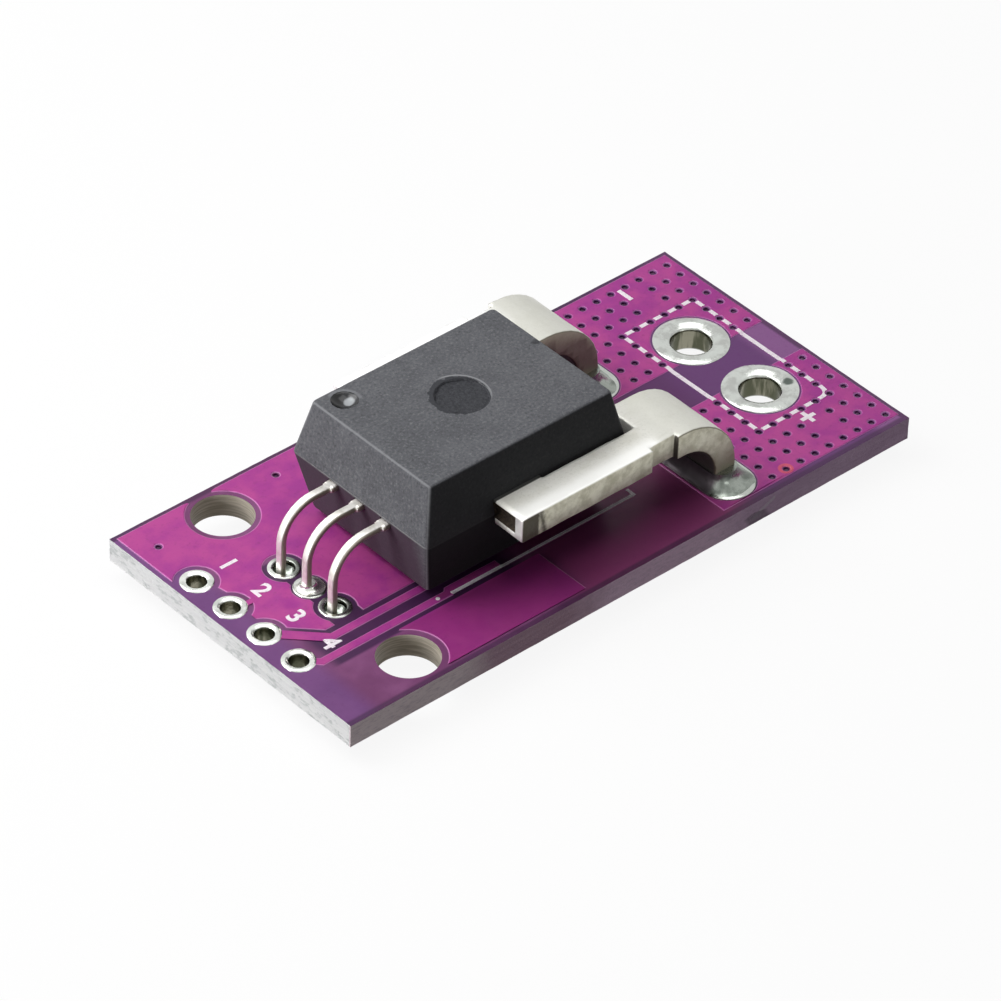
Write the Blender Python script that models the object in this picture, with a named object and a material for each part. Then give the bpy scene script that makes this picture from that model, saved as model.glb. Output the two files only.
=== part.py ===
"""Hall effect current sensor module: a moulded sensor package soldered to a small circuit board.

Metres, +Z up. The origin is under the board's centre, on the plane of the cut lead tips that the
module stands on. The signal header is at -X, the two large holes for the current wires at +X.
"""

import math

import bmesh
import bpy

# Spacing along the board, from its header end to its terminal end
HEADER_FROM_EDGE = 0.0012
HEADER_TO_SIGNAL = 0.0039
SIGNAL_TO_BODY = 0.00305
BODY_LENGTH = 0.0130
BODY_TO_CURRENT_LEG = 0.00475
CURRENT_LEG_TO_TERMINAL = 0.00665
TERMINAL_FROM_EDGE = 0.00415

# Circuit board, which reaches past the side bars of the conductor by a margin
BOARD_MARGIN = 0.0020
BOARD_THICKNESS = 0.0013
LEAD_TAIL = 0.0010

# Fixing holes near the header end
FIXING_HOLE_DIAMETER = 0.0032
FIXING_HOLE_FROM_END = 0.0054
FIXING_HOLE_FROM_SIDE = 0.0021

# Plated holes: a row for a pin header, and a pair for the current wires
HEADER_COUNT = 4
HEADER_PITCH = 0.00254
HEADER_HOLE_DIAMETER = 0.0010
HEADER_PAD_DIAMETER = 0.00175
TERMINAL_PITCH = 0.00508
TERMINAL_HOLE_DIAMETER = 0.0021
TERMINAL_PAD_DIAMETER = 0.0040
BARREL_WALL = 0.00005
PAD_THICKNESS = 0.00006
PAD_CROWN = 0.00007

# Moulded sensor body, two drafted halves that meet at the parting line
BODY_WIDTH = 0.0100
BODY_STANDOFF = 0.00043
BODY_LOWER_HEIGHT = 0.00343
BODY_UPPER_HEIGHT = 0.00309
BODY_DRAFT = math.radians(12.0)
BODY_CORNER_RADIUS = 0.00025
BODY_EDGE_RADIUS = 0.00014
FLASH_WIDTH = 0.00003
FLASH_THICKNESS = 0.00006
EJECTOR_DIAMETER = 0.0028
EJECTOR_DEPTH = 0.00012
PIN_MARK_DIAMETER = 0.0014
PIN_MARK_DEPTH = 0.00030
PIN_MARK_FROM_END = 0.00125
PIN_MARK_FROM_SIDE = 0.00100

# Primary conductor: two side bars joined by a crossing inside the body, each ending in a bent leg
CONDUCTOR_THICKNESS = 0.0014
BAR_WIDTH = 0.0020
BAR_TOP_ABOVE_PARTING = 0.00079
BAR_END_FROM_BODY_START = 0.0043
CROSSING_WIDTH = 0.0030
TAB_WIDTH = 0.0040
TAB_FROM_BODY = 0.00025
TAB_CORNER_RADIUS = 0.0005
NOTCH_BEFORE_BODY_END = 0.0002
NOTCH_LENGTH = 0.0016
NOTCH_DEPTH = 0.0003
CONDUCTOR_BEND_RADIUS = 0.0022
CONDUCTOR_EDGE_RADIUS = 0.00008

# Signal leads
SIGNAL_PITCH = 0.00191
SIGNAL_HOLE_DIAMETER = 0.0011
SIGNAL_PAD_GAP = 0.00021
LEAD_SET_BACK = 0.00019
LEAD_THICKNESS = 0.00038
LEAD_WIDTH = 0.00046
LEAD_TOP_BELOW_PARTING = 0.00011
LEAD_BEND_RADIUS = 0.00177
SHOULDER_WIDTH = 0.00068
SHOULDER_LENGTH = 0.00035

# Hall die on its paddle, in the gap of the flux core round the crossing
DIE_SIDE = 0.0012
DIE_THICKNESS = 0.00035
PADDLE_WIDTH = 0.0016
PADDLE_MARGIN = 0.00012
POST_WIDTH = 0.0008
POST_LENGTH = 0.0009
POST_FROM_CORE = 0.0006
CORE_SECTION = 0.0010
CORE_DEPTH = 0.0035
CORE_WINDOW_GAP = 0.0005
CORE_CORNER_RADIUS = 0.0003

# Current slots in the board and the solder in them
SLOT_PLAY = 0.00035
CORNER_PLAY = 0.00010
PAD_BEFORE_LEG = 0.00050
PAD_BEHIND_LEG = 0.00105
PAD_BESIDE_LEG = 0.00132
SOLDER_RIM = 0.00006
CURRENT_FILLET_HEIGHT = 0.0009
CURRENT_TAIL_FILLET = 0.0007
SIGNAL_TAIL_FILLET = 0.00055
SIGNAL_FILL_BELOW_TOP = 0.00020
CURRENT_SKIN = 0.00015
SIGNAL_SKIN = 0.00007

# Running clearance kept between pieces that touch
FIT = 0.00002

# Facets of a full turn, and of a quarter bend
SMALL_TURN = 20
LARGE_TURN = 32
BEND_STEPS = 10
FILLET_STEPS = 4
DIMPLE_STEPS = 4

# Heights and places that follow from the sizes above
HEADER_END_TO_BODY = HEADER_FROM_EDGE + HEADER_TO_SIGNAL + SIGNAL_TO_BODY
BODY_TO_TERMINAL = BODY_TO_CURRENT_LEG + CURRENT_LEG_TO_TERMINAL
BOARD_LENGTH = HEADER_END_TO_BODY + BODY_LENGTH + BODY_TO_TERMINAL + TERMINAL_FROM_EDGE
BOARD_WIDTH = BODY_WIDTH + 2 * (BAR_WIDTH + BOARD_MARGIN)
HEADER_X = HEADER_FROM_EDGE - BOARD_LENGTH / 2
SIGNAL_X = HEADER_X + HEADER_TO_SIGNAL
BODY_START_X = SIGNAL_X + SIGNAL_TO_BODY
BODY_END_X = BODY_START_X + BODY_LENGTH
BODY_CENTRE_X = (BODY_START_X + BODY_END_X) / 2
CURRENT_LEG_X = BODY_END_X + BODY_TO_CURRENT_LEG
TERMINAL_X = CURRENT_LEG_X + CURRENT_LEG_TO_TERMINAL
BOARD_BOTTOM = LEAD_TAIL
BOARD_TOP = BOARD_BOTTOM + BOARD_THICKNESS
PAD_TOP = BOARD_TOP + FIT + PAD_THICKNESS
PAD_BOTTOM = BOARD_BOTTOM - FIT - PAD_THICKNESS
BODY_BOTTOM = BOARD_TOP + BODY_STANDOFF
PARTING = BODY_BOTTOM + BODY_LOWER_HEIGHT
BODY_TOP = PARTING + BODY_UPPER_HEIGHT
BAR_TOP = PARTING + BAR_TOP_ABOVE_PARTING
BAR_BOTTOM = BAR_TOP - CONDUCTOR_THICKNESS
BAR_INNER_Y = BODY_WIDTH / 2
BAR_OUTER_Y = BAR_INNER_Y + BAR_WIDTH
TAB_INNER_Y = BAR_OUTER_Y - TAB_WIDTH
LEG_Y = BAR_OUTER_Y - TAB_WIDTH / 2
BAR_START_X = BODY_START_X + BAR_END_FROM_BODY_START
CROSSING_END_X = BAR_START_X + CROSSING_WIDTH
LEAD_X = SIGNAL_X - LEAD_SET_BACK
LEAD_TOP = PARTING - LEAD_TOP_BELOW_PARTING
LEAD_BOTTOM = LEAD_TOP - LEAD_THICKNESS
DIE_BOTTOM = LEAD_TOP + FIT
DIE_TOP = DIE_BOTTOM + DIE_THICKNESS
CORE_INNER_START_X = BAR_START_X - CORE_WINDOW_GAP
CORE_INNER_END_X = CROSSING_END_X + CORE_WINDOW_GAP
CORE_START_X = CORE_INNER_START_X - CORE_SECTION
DIE_X = CORE_INNER_START_X - CORE_SECTION / 2
SIGNAL_PAD_DIAMETER = SIGNAL_PITCH - SIGNAL_PAD_GAP
SLOT_RADIUS = CONDUCTOR_THICKNESS / 2 + SLOT_PLAY
CURRENT_PAD_RADIUS = (PAD_BEFORE_LEG + CONDUCTOR_THICKNESS + PAD_BEHIND_LEG) / 2
CURRENT_PAD_SHIFT = (PAD_BEHIND_LEG - PAD_BEFORE_LEG) / 2
CURRENT_PAD_HALF_LENGTH = TAB_WIDTH / 2 + PAD_BESIDE_LEG - CURRENT_PAD_RADIUS


def principled(name, colour, roughness, metallic):
    """The named material, made the first time it is asked for."""
    material = bpy.data.materials.get(name)
    if material is None:
        material = bpy.data.materials.new(name)
        material.use_nodes = True
        shader = material.node_tree.nodes["Principled BSDF"]
        shader.inputs["Base Color"].default_value = (*colour, 1.0)
        shader.inputs["Roughness"].default_value = roughness
        shader.inputs["Metallic"].default_value = metallic
        material.diffuse_color = (*colour, 1.0)
    return material


def purple_laminate():
    return principled("purple_laminate", (0.26, 0.05, 0.24), 0.35, 0.0)


def tinned_pad():
    return principled("tinned_pad", (0.72, 0.72, 0.68), 0.28, 1.0)


def solder_alloy():
    return principled("solder_alloy", (0.62, 0.63, 0.61), 0.30, 1.0)


def tinned_copper():
    return principled("tinned_copper", (0.74, 0.72, 0.66), 0.38, 1.0)


def tinned_lead():
    return principled("tinned_lead", (0.80, 0.79, 0.75), 0.30, 1.0)


def moulding_compound():
    return principled("moulding_compound", (0.035, 0.036, 0.038), 0.55, 0.0)


def core_steel():
    return principled("core_steel", (0.32, 0.32, 0.34), 0.45, 1.0)


def silicon():
    return principled("silicon", (0.20, 0.21, 0.25), 0.20, 1.0)


def add_object(name, bm, material=None):
    """A mesh object of the closed bmesh, with its faces turned outwards."""
    bmesh.ops.recalc_face_normals(bm, faces=bm.faces)
    mesh = bpy.data.meshes.new(name)
    bm.to_mesh(mesh)
    bm.free()
    obj = bpy.data.objects.new(name, mesh)
    bpy.context.scene.collection.objects.link(obj)
    if material is not None:
        mesh.materials.append(material)
        mesh.shade_smooth()
        mesh.set_sharp_from_angle(angle=math.radians(35))
    return obj


def as_helper(obj):
    """Keeps a cutter or a guide out of the finished part."""
    obj.hide_render = True
    obj.display_type = "WIRE"
    return obj


def combine(obj, helper, operation):
    """An exact Boolean of the object with a helper solid."""
    modifier = obj.modifiers.new(operation.title(), "BOOLEAN")
    modifier.operation = operation
    modifier.solver = "EXACT"
    modifier.object = as_helper(helper)
    return obj


def round_edges(obj, radius, segments, angle):
    modifier = obj.modifiers.new("Edge radius", "BEVEL")
    modifier.width = radius
    modifier.segments = segments
    modifier.limit_method = "ANGLE"
    modifier.angle_limit = math.radians(angle)
    return obj


def rounded_outline(corners, steps=3):
    """The outline through (u, v, radius) corners, each rounded by an arc of its own radius."""
    outline = []
    for index, (u, v, radius) in enumerate(corners):
        before = corners[index - 1]
        after = corners[(index + 1) % len(corners)]
        if radius == 0:
            outline.append((u, v))
            continue
        ways = []
        for other in (before, after):
            du, dv = other[0] - u, other[1] - v
            length = math.hypot(du, dv)
            ways.append((du / length, dv / length))
        (au, av), (bu, bv) = ways
        half = math.acos(max(-1.0, min(1.0, au * bu + av * bv))) / 2
        reach = radius / math.sin(half)
        mu, mv = au + bu, av + bv
        size = math.hypot(mu, mv)
        cu, cv = u + mu / size * reach, v + mv / size * reach
        tangent = radius / math.tan(half)
        start = math.atan2(v + av * tangent - cv, u + au * tangent - cu)
        end = math.atan2(v + bv * tangent - cv, u + bu * tangent - cu)
        sweep = (end - start + math.pi) % (2 * math.pi) - math.pi
        for step in range(steps + 1):
            angle = start + sweep * step / steps
            outline.append((cu + radius * math.cos(angle), cv + radius * math.sin(angle)))
    return outline


def prism(name, outline, low, high, along="Z", material=None):
    """The outline pushed from low to high: an X-Y outline along Z, or an X-Z outline along Y."""
    bm = bmesh.new()
    place = (lambda u, v: (u, v, low)) if along == "Z" else (lambda u, v: (u, low, v))
    face = bm.faces.new([bm.verts.new(place(u, v)) for u, v in outline])
    moved = bmesh.ops.extrude_face_region(bm, geom=[face])
    travel = (0, 0, high - low) if along == "Z" else (0, high - low, 0)
    verts = [item for item in moved["geom"] if isinstance(item, bmesh.types.BMVert)]
    bmesh.ops.translate(bm, verts=verts, vec=travel)
    return add_object(name, bm, material)


def block(name, low, high, material=None):
    corners = [(low[0], low[1]), (high[0], low[1]), (high[0], high[1]), (low[0], high[1])]
    return prism(name, corners, low[2], high[2], material=material)


def stadium(bm, centre, ring, turn):
    """A circle drawn out along Y: ring is (radius, height, half length, shift along X)."""
    radius, height, half_length, shift = ring
    verts = []
    for step in range(turn):
        angle = 2 * math.pi * (step + 0.5) / turn
        side = math.copysign(half_length, math.sin(angle))
        x = centre[0] + shift + radius * math.cos(angle)
        y = centre[1] + side + radius * math.sin(angle)
        verts.append(bm.verts.new((x, y, height)))
    return verts


def sweep_profile(bm, centre, rings, turn, hollow):
    """Joins stadium rings into a wall. A hollow profile closes on itself, a solid one is capped."""
    loops = [stadium(bm, centre, ring, turn) for ring in rings]
    pairs = list(zip(loops, loops[1:]))
    if hollow:
        pairs.append((loops[-1], loops[0]))
    for lower, upper in pairs:
        for step in range(turn):
            after = (step + 1) % turn
            bm.faces.new((lower[step], lower[after], upper[after], upper[step]))
    if not hollow:
        bm.faces.new(loops[0])
        bm.faces.new(loops[-1])


def header_places():
    middle = (HEADER_COUNT - 1) / 2
    return [(HEADER_X, (middle - index) * HEADER_PITCH) for index in range(HEADER_COUNT)]


def signal_places():
    return [(SIGNAL_X, side * SIGNAL_PITCH) for side in (1, 0, -1)]


def terminal_places():
    return [(TERMINAL_X, side * TERMINAL_PITCH / 2) for side in (1, -1)]


def current_places():
    return [(CURRENT_LEG_X, side * LEG_Y) for side in (1, -1)]


def fixing_places():
    x = FIXING_HOLE_FROM_END - BOARD_LENGTH / 2
    y = BOARD_WIDTH / 2 - FIXING_HOLE_FROM_SIDE
    return [(x, y), (x, -y)]


def hugging_length(radius):
    """Half length of a stadium of this radius whose round ends clear the leg's square corners."""
    reach = radius - CORNER_PLAY
    return TAB_WIDTH / 2 - math.sqrt(reach**2 - (CONDUCTOR_THICKNESS / 2) ** 2)


def drilled_holes():
    """Every hole of the board as one cutter: the plated ones leave room for their barrels."""
    wall = BARREL_WALL + FIT
    header = HEADER_HOLE_DIAMETER / 2 + wall
    signal = SIGNAL_HOLE_DIAMETER / 2 + wall
    terminal = TERMINAL_HOLE_DIAMETER / 2 + wall
    slot = SLOT_RADIUS + wall
    fixing = FIXING_HOLE_DIAMETER / 2
    holes = [(place, header, 0, SMALL_TURN) for place in header_places()]
    holes += [(place, signal, 0, SMALL_TURN) for place in signal_places()]
    holes += [(place, terminal, 0, LARGE_TURN) for place in terminal_places()]
    holes += [(place, slot, hugging_length(SLOT_RADIUS), LARGE_TURN) for place in current_places()]
    holes += [(place, fixing, 0, LARGE_TURN) for place in fixing_places()]
    bm = bmesh.new()
    for place, radius, half_length, turn in holes:
        low = (radius, BOARD_BOTTOM - BOARD_THICKNESS, half_length, 0)
        high = (radius, BOARD_TOP + BOARD_THICKNESS, half_length, 0)
        sweep_profile(bm, place, [low, high], turn, hollow=False)
    return add_object("board_drill", bm)


def circuit_board():
    low = (-BOARD_LENGTH / 2, -BOARD_WIDTH / 2, BOARD_BOTTOM)
    high = (BOARD_LENGTH / 2, BOARD_WIDTH / 2, BOARD_TOP)
    board = block("circuit_board", low, high, purple_laminate())
    return combine(board, drilled_holes(), "DIFFERENCE")


def plated_hole(name, place, hole, pad, turn, crown=0.0):
    """One barrel with a pad ring on both faces.

    hole is (radius, half length), and pad is (radius, half length, shift along X).
    """
    hole_radius, hole_length = hole
    pad_radius, pad_length, pad_shift = pad
    middle = ((hole_radius + pad_radius) / 2, (hole_length + pad_length) / 2, pad_shift / 2)
    outside = hole_radius + BARREL_WALL
    rings = [
        (hole_radius, PAD_BOTTOM, hole_length, 0),
        (hole_radius, PAD_TOP, hole_length, 0),
        (pad_radius, PAD_TOP, pad_length, pad_shift),
        (pad_radius, BOARD_TOP + FIT, pad_length, pad_shift),
        (outside, BOARD_TOP + FIT, hole_length, 0),
        (outside, BOARD_BOTTOM - FIT, hole_length, 0),
        (pad_radius, BOARD_BOTTOM - FIT, pad_length, pad_shift),
        (pad_radius, PAD_BOTTOM, pad_length, pad_shift),
    ]
    if crown:
        rings.insert(2, (middle[0], PAD_TOP + crown, middle[1], middle[2]))
    bm = bmesh.new()
    sweep_profile(bm, place, rings, turn, hollow=True)
    return add_object(name, bm, tinned_pad())


def header_platings():
    for index, place in enumerate(header_places(), start=1):
        hole = (HEADER_HOLE_DIAMETER / 2, 0)
        pad = (HEADER_PAD_DIAMETER / 2, 0, 0)
        plated_hole(f"header_plating_{index}", place, hole, pad, SMALL_TURN, PAD_CROWN)


def terminal_platings():
    for index, place in enumerate(terminal_places(), start=1):
        hole = (TERMINAL_HOLE_DIAMETER / 2, 0)
        pad = (TERMINAL_PAD_DIAMETER / 2, 0, 0)
        plated_hole(f"terminal_plating_{index}", place, hole, pad, LARGE_TURN, PAD_CROWN)


def signal_platings():
    for index, place in enumerate(signal_places(), start=1):
        hole = (SIGNAL_HOLE_DIAMETER / 2, 0)
        pad = (SIGNAL_PAD_DIAMETER / 2, 0, 0)
        plated_hole(f"signal_plating_{index}", place, hole, pad, SMALL_TURN)


def current_platings():
    """Slotted barrels with long pads, which reach further behind each leg than before it."""
    for index, place in enumerate(current_places(), start=1):
        hole = (SLOT_RADIUS, hugging_length(SLOT_RADIUS))
        pad = (CURRENT_PAD_RADIUS, CURRENT_PAD_HALF_LENGTH, CURRENT_PAD_SHIFT)
        plated_hole(f"current_plating_{index}", place, hole, pad, LARGE_TURN)


def bent_strip(flat_x, leg_x, top, thickness, inner_radius, grow=0.0):
    """Side outline in X-Z of a strip that runs level from flat_x and bends down into a leg.

    leg_x is the middle of the leg. The leg ends at the plane of the lead tips.
    """
    way = math.copysign(1.0, leg_x - flat_x)
    outer = inner_radius + thickness
    bend_x = leg_x - way * (inner_radius + thickness / 2)
    bend_z = top - outer
    start_x = flat_x - way * grow
    tip = -grow
    arc = [math.pi / 2 * step / BEND_STEPS for step in range(BEND_STEPS + 1)]
    outline = [(start_x, top + grow)]
    for angle in arc:
        radius = outer + grow
        outline.append((bend_x + way * radius * math.sin(angle), bend_z + radius * math.cos(angle)))
    outline.append((leg_x + way * (thickness / 2 + grow), tip))
    outline.append((leg_x - way * (thickness / 2 + grow), tip))
    for angle in reversed(arc):
        radius = inner_radius - grow
        outline.append((bend_x + way * radius * math.sin(angle), bend_z + radius * math.cos(angle)))
    outline.append((start_x, top - thickness - grow))
    return outline


def conductor_plan(grow=0.0):
    """Outline of the conductor seen from above: a U whose arms widen past the body's end."""
    start = BAR_START_X - grow
    end = CURRENT_LEG_X + CONDUCTOR_THICKNESS / 2 + grow
    outer = BAR_OUTER_Y + grow
    bar = BAR_INNER_Y - grow
    tab = TAB_INNER_Y - grow
    crossing = CROSSING_END_X + grow
    step = BODY_END_X + TAB_FROM_BODY - grow
    notch_start = BODY_END_X - NOTCH_BEFORE_BODY_END
    notch_end = notch_start + NOTCH_LENGTH
    notch = outer - NOTCH_DEPTH
    half = [
        (start, outer, 0),
        (notch_start, outer, 0),
        (notch_start, notch, 0),
        (notch_end, notch, 0),
        (notch_end, outer, 0),
        (end, outer, 0),
        (end, tab, 0),
        (step, tab, TAB_CORNER_RADIUS),
        (step, bar, 0),
        (crossing, bar, 0),
    ]
    return half + [(x, -y, radius) for x, y, radius in reversed(half)]


def stamped_conductor(name, grow=0.0, material=None):
    """The bent blank: its side outline pushed across Y, trimmed to its outline from above."""
    side = bent_strip(
        BAR_START_X, CURRENT_LEG_X, BAR_TOP, CONDUCTOR_THICKNESS, CONDUCTOR_BEND_RADIUS, grow
    )
    reach = BAR_OUTER_Y + CONDUCTOR_THICKNESS
    blank = prism(name, side, -reach, reach, along="Y", material=material)
    plan = rounded_outline(conductor_plan(grow))
    trim = prism(name + "_plan", plan, -CONDUCTOR_THICKNESS, BAR_TOP + CONDUCTOR_THICKNESS)
    return combine(blank, trim, "INTERSECT")


def primary_conductor():
    conductor = stamped_conductor("primary_conductor", material=tinned_copper())
    return round_edges(conductor, CONDUCTOR_EDGE_RADIUS, 1, 60)


def lead_plan(centre_y, inner_x, inner_width, inner_length, grow=0.0):
    """Outline of a signal lead from above: leg, shoulders at the body's face, and inner end."""
    leg = LEAD_X - LEAD_THICKNESS / 2 - grow
    narrow = LEAD_WIDTH / 2 + grow
    wide = SHOULDER_WIDTH / 2 + grow
    shoulder = BODY_START_X - SHOULDER_LENGTH - grow
    shoulder_end = BODY_START_X + SHOULDER_LENGTH + grow
    inner_end = inner_x + grow
    inner_start = inner_x - inner_length - grow
    inner = inner_width / 2 + grow
    half = [
        (leg, narrow),
        (shoulder, narrow),
        (shoulder, wide),
        (shoulder_end, wide),
        (shoulder_end, narrow),
        (inner_start, narrow),
        (inner_start, inner),
        (inner_end, inner),
    ]
    return [(x, centre_y + y) for x, y in half] + [(x, centre_y - y) for x, y in reversed(half)]


def stamped_lead(name, centre_y, grow=0.0, material=None):
    """A signal lead. The middle one carries the die on its paddle, the others end in bond posts."""
    if centre_y == 0:
        inner_x = DIE_X + DIE_SIDE / 2 + PADDLE_MARGIN
        inner_width = PADDLE_WIDTH
        inner_length = DIE_SIDE + 2 * PADDLE_MARGIN
    else:
        inner_x = CORE_START_X - POST_FROM_CORE
        inner_width = POST_WIDTH
        inner_length = POST_LENGTH
    side = bent_strip(inner_x, LEAD_X, LEAD_TOP, LEAD_THICKNESS, LEAD_BEND_RADIUS, grow)
    reach = PADDLE_WIDTH
    blank = prism(name, side, centre_y - reach, centre_y + reach, along="Y", material=material)
    plan = lead_plan(centre_y, inner_x, inner_width, inner_length, grow)
    trim = prism(name + "_plan", plan, -LEAD_THICKNESS, LEAD_TOP + LEAD_THICKNESS)
    return combine(blank, trim, "INTERSECT")


def signal_leads():
    for index, (_, y) in enumerate(signal_places(), start=1):
        stamped_lead(f"signal_lead_{index}", y, material=tinned_lead())


def core_outline(grow=0.0):
    """C-shaped outline in X-Z round the crossing. The gap holds the paddle and the die."""
    radius = CORE_CORNER_RADIUS
    inner_low = BAR_BOTTOM - CORE_WINDOW_GAP + grow
    inner_high = BAR_TOP + CORE_WINDOW_GAP - grow
    inner_start = CORE_INNER_START_X + grow
    inner_end = CORE_INNER_END_X - grow
    start = CORE_START_X - grow
    end = CORE_INNER_END_X + CORE_SECTION + grow
    low = BAR_BOTTOM - CORE_WINDOW_GAP - CORE_SECTION - grow
    high = BAR_TOP + CORE_WINDOW_GAP + CORE_SECTION + grow
    gap_low = LEAD_BOTTOM - FIT + grow
    gap_high = DIE_TOP + FIT - grow
    return rounded_outline(
        [
            (start, gap_low, 0),
            (inner_start, gap_low, 0),
            (inner_start, inner_low, 0),
            (inner_end, inner_low, 0),
            (inner_end, inner_high, 0),
            (inner_start, inner_high, 0),
            (inner_start, gap_high, 0),
            (start, gap_high, 0),
            (start, high, radius),
            (end, high, radius),
            (end, low, radius),
            (start, low, radius),
        ]
    )


def flux_core(name="flux_core", grow=0.0, material=None):
    half = CORE_DEPTH / 2 + grow
    return prism(name, core_outline(grow), -half, half, along="Y", material=material)


def hall_die(name="hall_die", grow=0.0, material=None):
    half = DIE_SIDE / 2 + grow
    low = (DIE_X - half, -half, DIE_BOTTOM - grow)
    high = (DIE_X + half, half, DIE_TOP + grow)
    return block(name, low, high, material)


def body_ring(bm, height):
    """One level outline of the drafted body, with rounded corners."""
    inset = abs(height - PARTING) * math.tan(BODY_DRAFT)
    x = BODY_LENGTH / 2 - inset
    y = BODY_WIDTH / 2 - inset
    corners = [(-x, -y), (x, -y), (x, y), (-x, y)]
    outline = rounded_outline([(u, v, BODY_CORNER_RADIUS) for u, v in corners])
    return [bm.verts.new((BODY_CENTRE_X + u, v, height)) for u, v in outline]


def moulded_block():
    """Both halves of the moulding, each drafted away from the parting line."""
    bm = bmesh.new()
    rings = [body_ring(bm, height) for height in (BODY_BOTTOM, PARTING, BODY_TOP)]
    for lower, upper in zip(rings, rings[1:]):
        for index in range(len(lower)):
            after = (index + 1) % len(lower)
            bm.faces.new((lower[index], lower[after], upper[after], upper[index]))
    bm.faces.new(rings[0])
    bm.faces.new(rings[-1])
    return add_object("sensor_body", bm, moulding_compound())


def ejector_cutter():
    """The shallow round recess that the ejector pin leaves in the middle of the top."""
    bm = bmesh.new()
    radius = EJECTOR_DIAMETER / 2
    rings = [(radius, BODY_TOP - EJECTOR_DEPTH, 0, 0), (radius, BODY_TOP + EJECTOR_DEPTH, 0, 0)]
    sweep_profile(bm, (BODY_CENTRE_X, 0), rings, LARGE_TURN, hollow=False)
    return add_object("ejector_cutter", bm)


def pin_mark_cutter():
    """A spherical dimple near the corner of the first signal lead."""
    inset = BODY_UPPER_HEIGHT * math.tan(BODY_DRAFT)
    x = BODY_START_X + inset + PIN_MARK_FROM_END
    y = BODY_WIDTH / 2 - inset - PIN_MARK_FROM_SIDE
    half = PIN_MARK_DIAMETER / 2
    sphere = (half**2 + PIN_MARK_DEPTH**2) / (2 * PIN_MARK_DEPTH)
    rings = []
    for step in range(1, DIMPLE_STEPS + 1):
        radius = half * step / DIMPLE_STEPS
        depth = PIN_MARK_DEPTH - sphere + math.sqrt(sphere**2 - radius**2)
        rings.append((radius, BODY_TOP - depth, 0, 0))
    rings.append((half, BODY_TOP + PIN_MARK_DEPTH, 0, 0))
    bm = bmesh.new()
    sweep_profile(bm, (x, y), rings, SMALL_TURN, hollow=False)
    return add_object("pin_mark_cutter", bm)


def flash_line():
    """The thin ledge of moulding flash along the parting line at both ends of the body."""
    half = FLASH_THICKNESS / 2
    x = BODY_LENGTH / 2 + FLASH_WIDTH
    y = BODY_WIDTH / 2 - 2 * FLASH_WIDTH
    corners = [(-x, -y), (x, -y), (x, y), (-x, y)]
    outline = rounded_outline([(u, v, BODY_CORNER_RADIUS) for u, v in corners])
    placed = [(BODY_CENTRE_X + u, v) for u, v in outline]
    return prism("flash_line", placed, PARTING - half, PARTING + half)


def sensor_body():
    """The moulding, cut to take the conductor, the leads, the core and the die it is cast round."""
    body = round_edges(moulded_block(), BODY_EDGE_RADIUS, 3, 45)
    combine(body, flash_line(), "UNION")
    combine(body, ejector_cutter(), "DIFFERENCE")
    combine(body, pin_mark_cutter(), "DIFFERENCE")
    combine(body, stamped_conductor("conductor_cavity", FIT), "DIFFERENCE")
    for index, (_, y) in enumerate(signal_places(), start=1):
        combine(body, stamped_lead(f"lead_cavity_{index}", y, FIT), "DIFFERENCE")
    combine(body, flux_core("core_cavity", FIT), "DIFFERENCE")
    combine(body, hall_die("die_cavity", FIT), "DIFFERENCE")
    return body


def fillet_rings(rim, neck, face, height, way):
    """Concave solder fillet between a pad's rim and the neck round a lead.

    rim and neck are (radius, half length, shift along X). The rings start at the pad's face and
    go up (way 1) or down (way -1) from the board.
    """
    rings = []
    for step in range(FILLET_STEPS + 1):
        rise = (step / FILLET_STEPS) ** 2
        spread = (1 - step / FILLET_STEPS) ** 2
        radius, half_length, shift = (b + (a - b) * spread for a, b in zip(rim, neck))
        rings.append((radius, face + way * (FIT + height * rise), half_length, shift))
    return rings


def signal_solder():
    """Solder under each signal lead, filling its hole to just under the upper pad."""
    hole = SIGNAL_HOLE_DIAMETER / 2 - FIT
    rim = (SIGNAL_PAD_DIAMETER / 2 - SOLDER_RIM, 0, 0)
    neck_radius = math.hypot(LEAD_THICKNESS, LEAD_WIDTH) / 2 + SIGNAL_SKIN
    neck = (neck_radius, 0, -LEAD_SET_BACK)
    for index, place in enumerate(signal_places(), start=1):
        rings = fillet_rings(rim, neck, PAD_BOTTOM, SIGNAL_TAIL_FILLET, -1)
        rings.reverse()
        rings.append((hole, PAD_BOTTOM - FIT, 0, 0))
        rings.append((hole, BOARD_TOP - SIGNAL_FILL_BELOW_TOP, 0, 0))
        bm = bmesh.new()
        sweep_profile(bm, place, rings, SMALL_TURN, hollow=False)
        solder = add_object(f"signal_solder_{index}", bm, solder_alloy())
        combine(solder, stamped_lead(f"lead_core_{index}", place[1], FIT), "DIFFERENCE")


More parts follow.
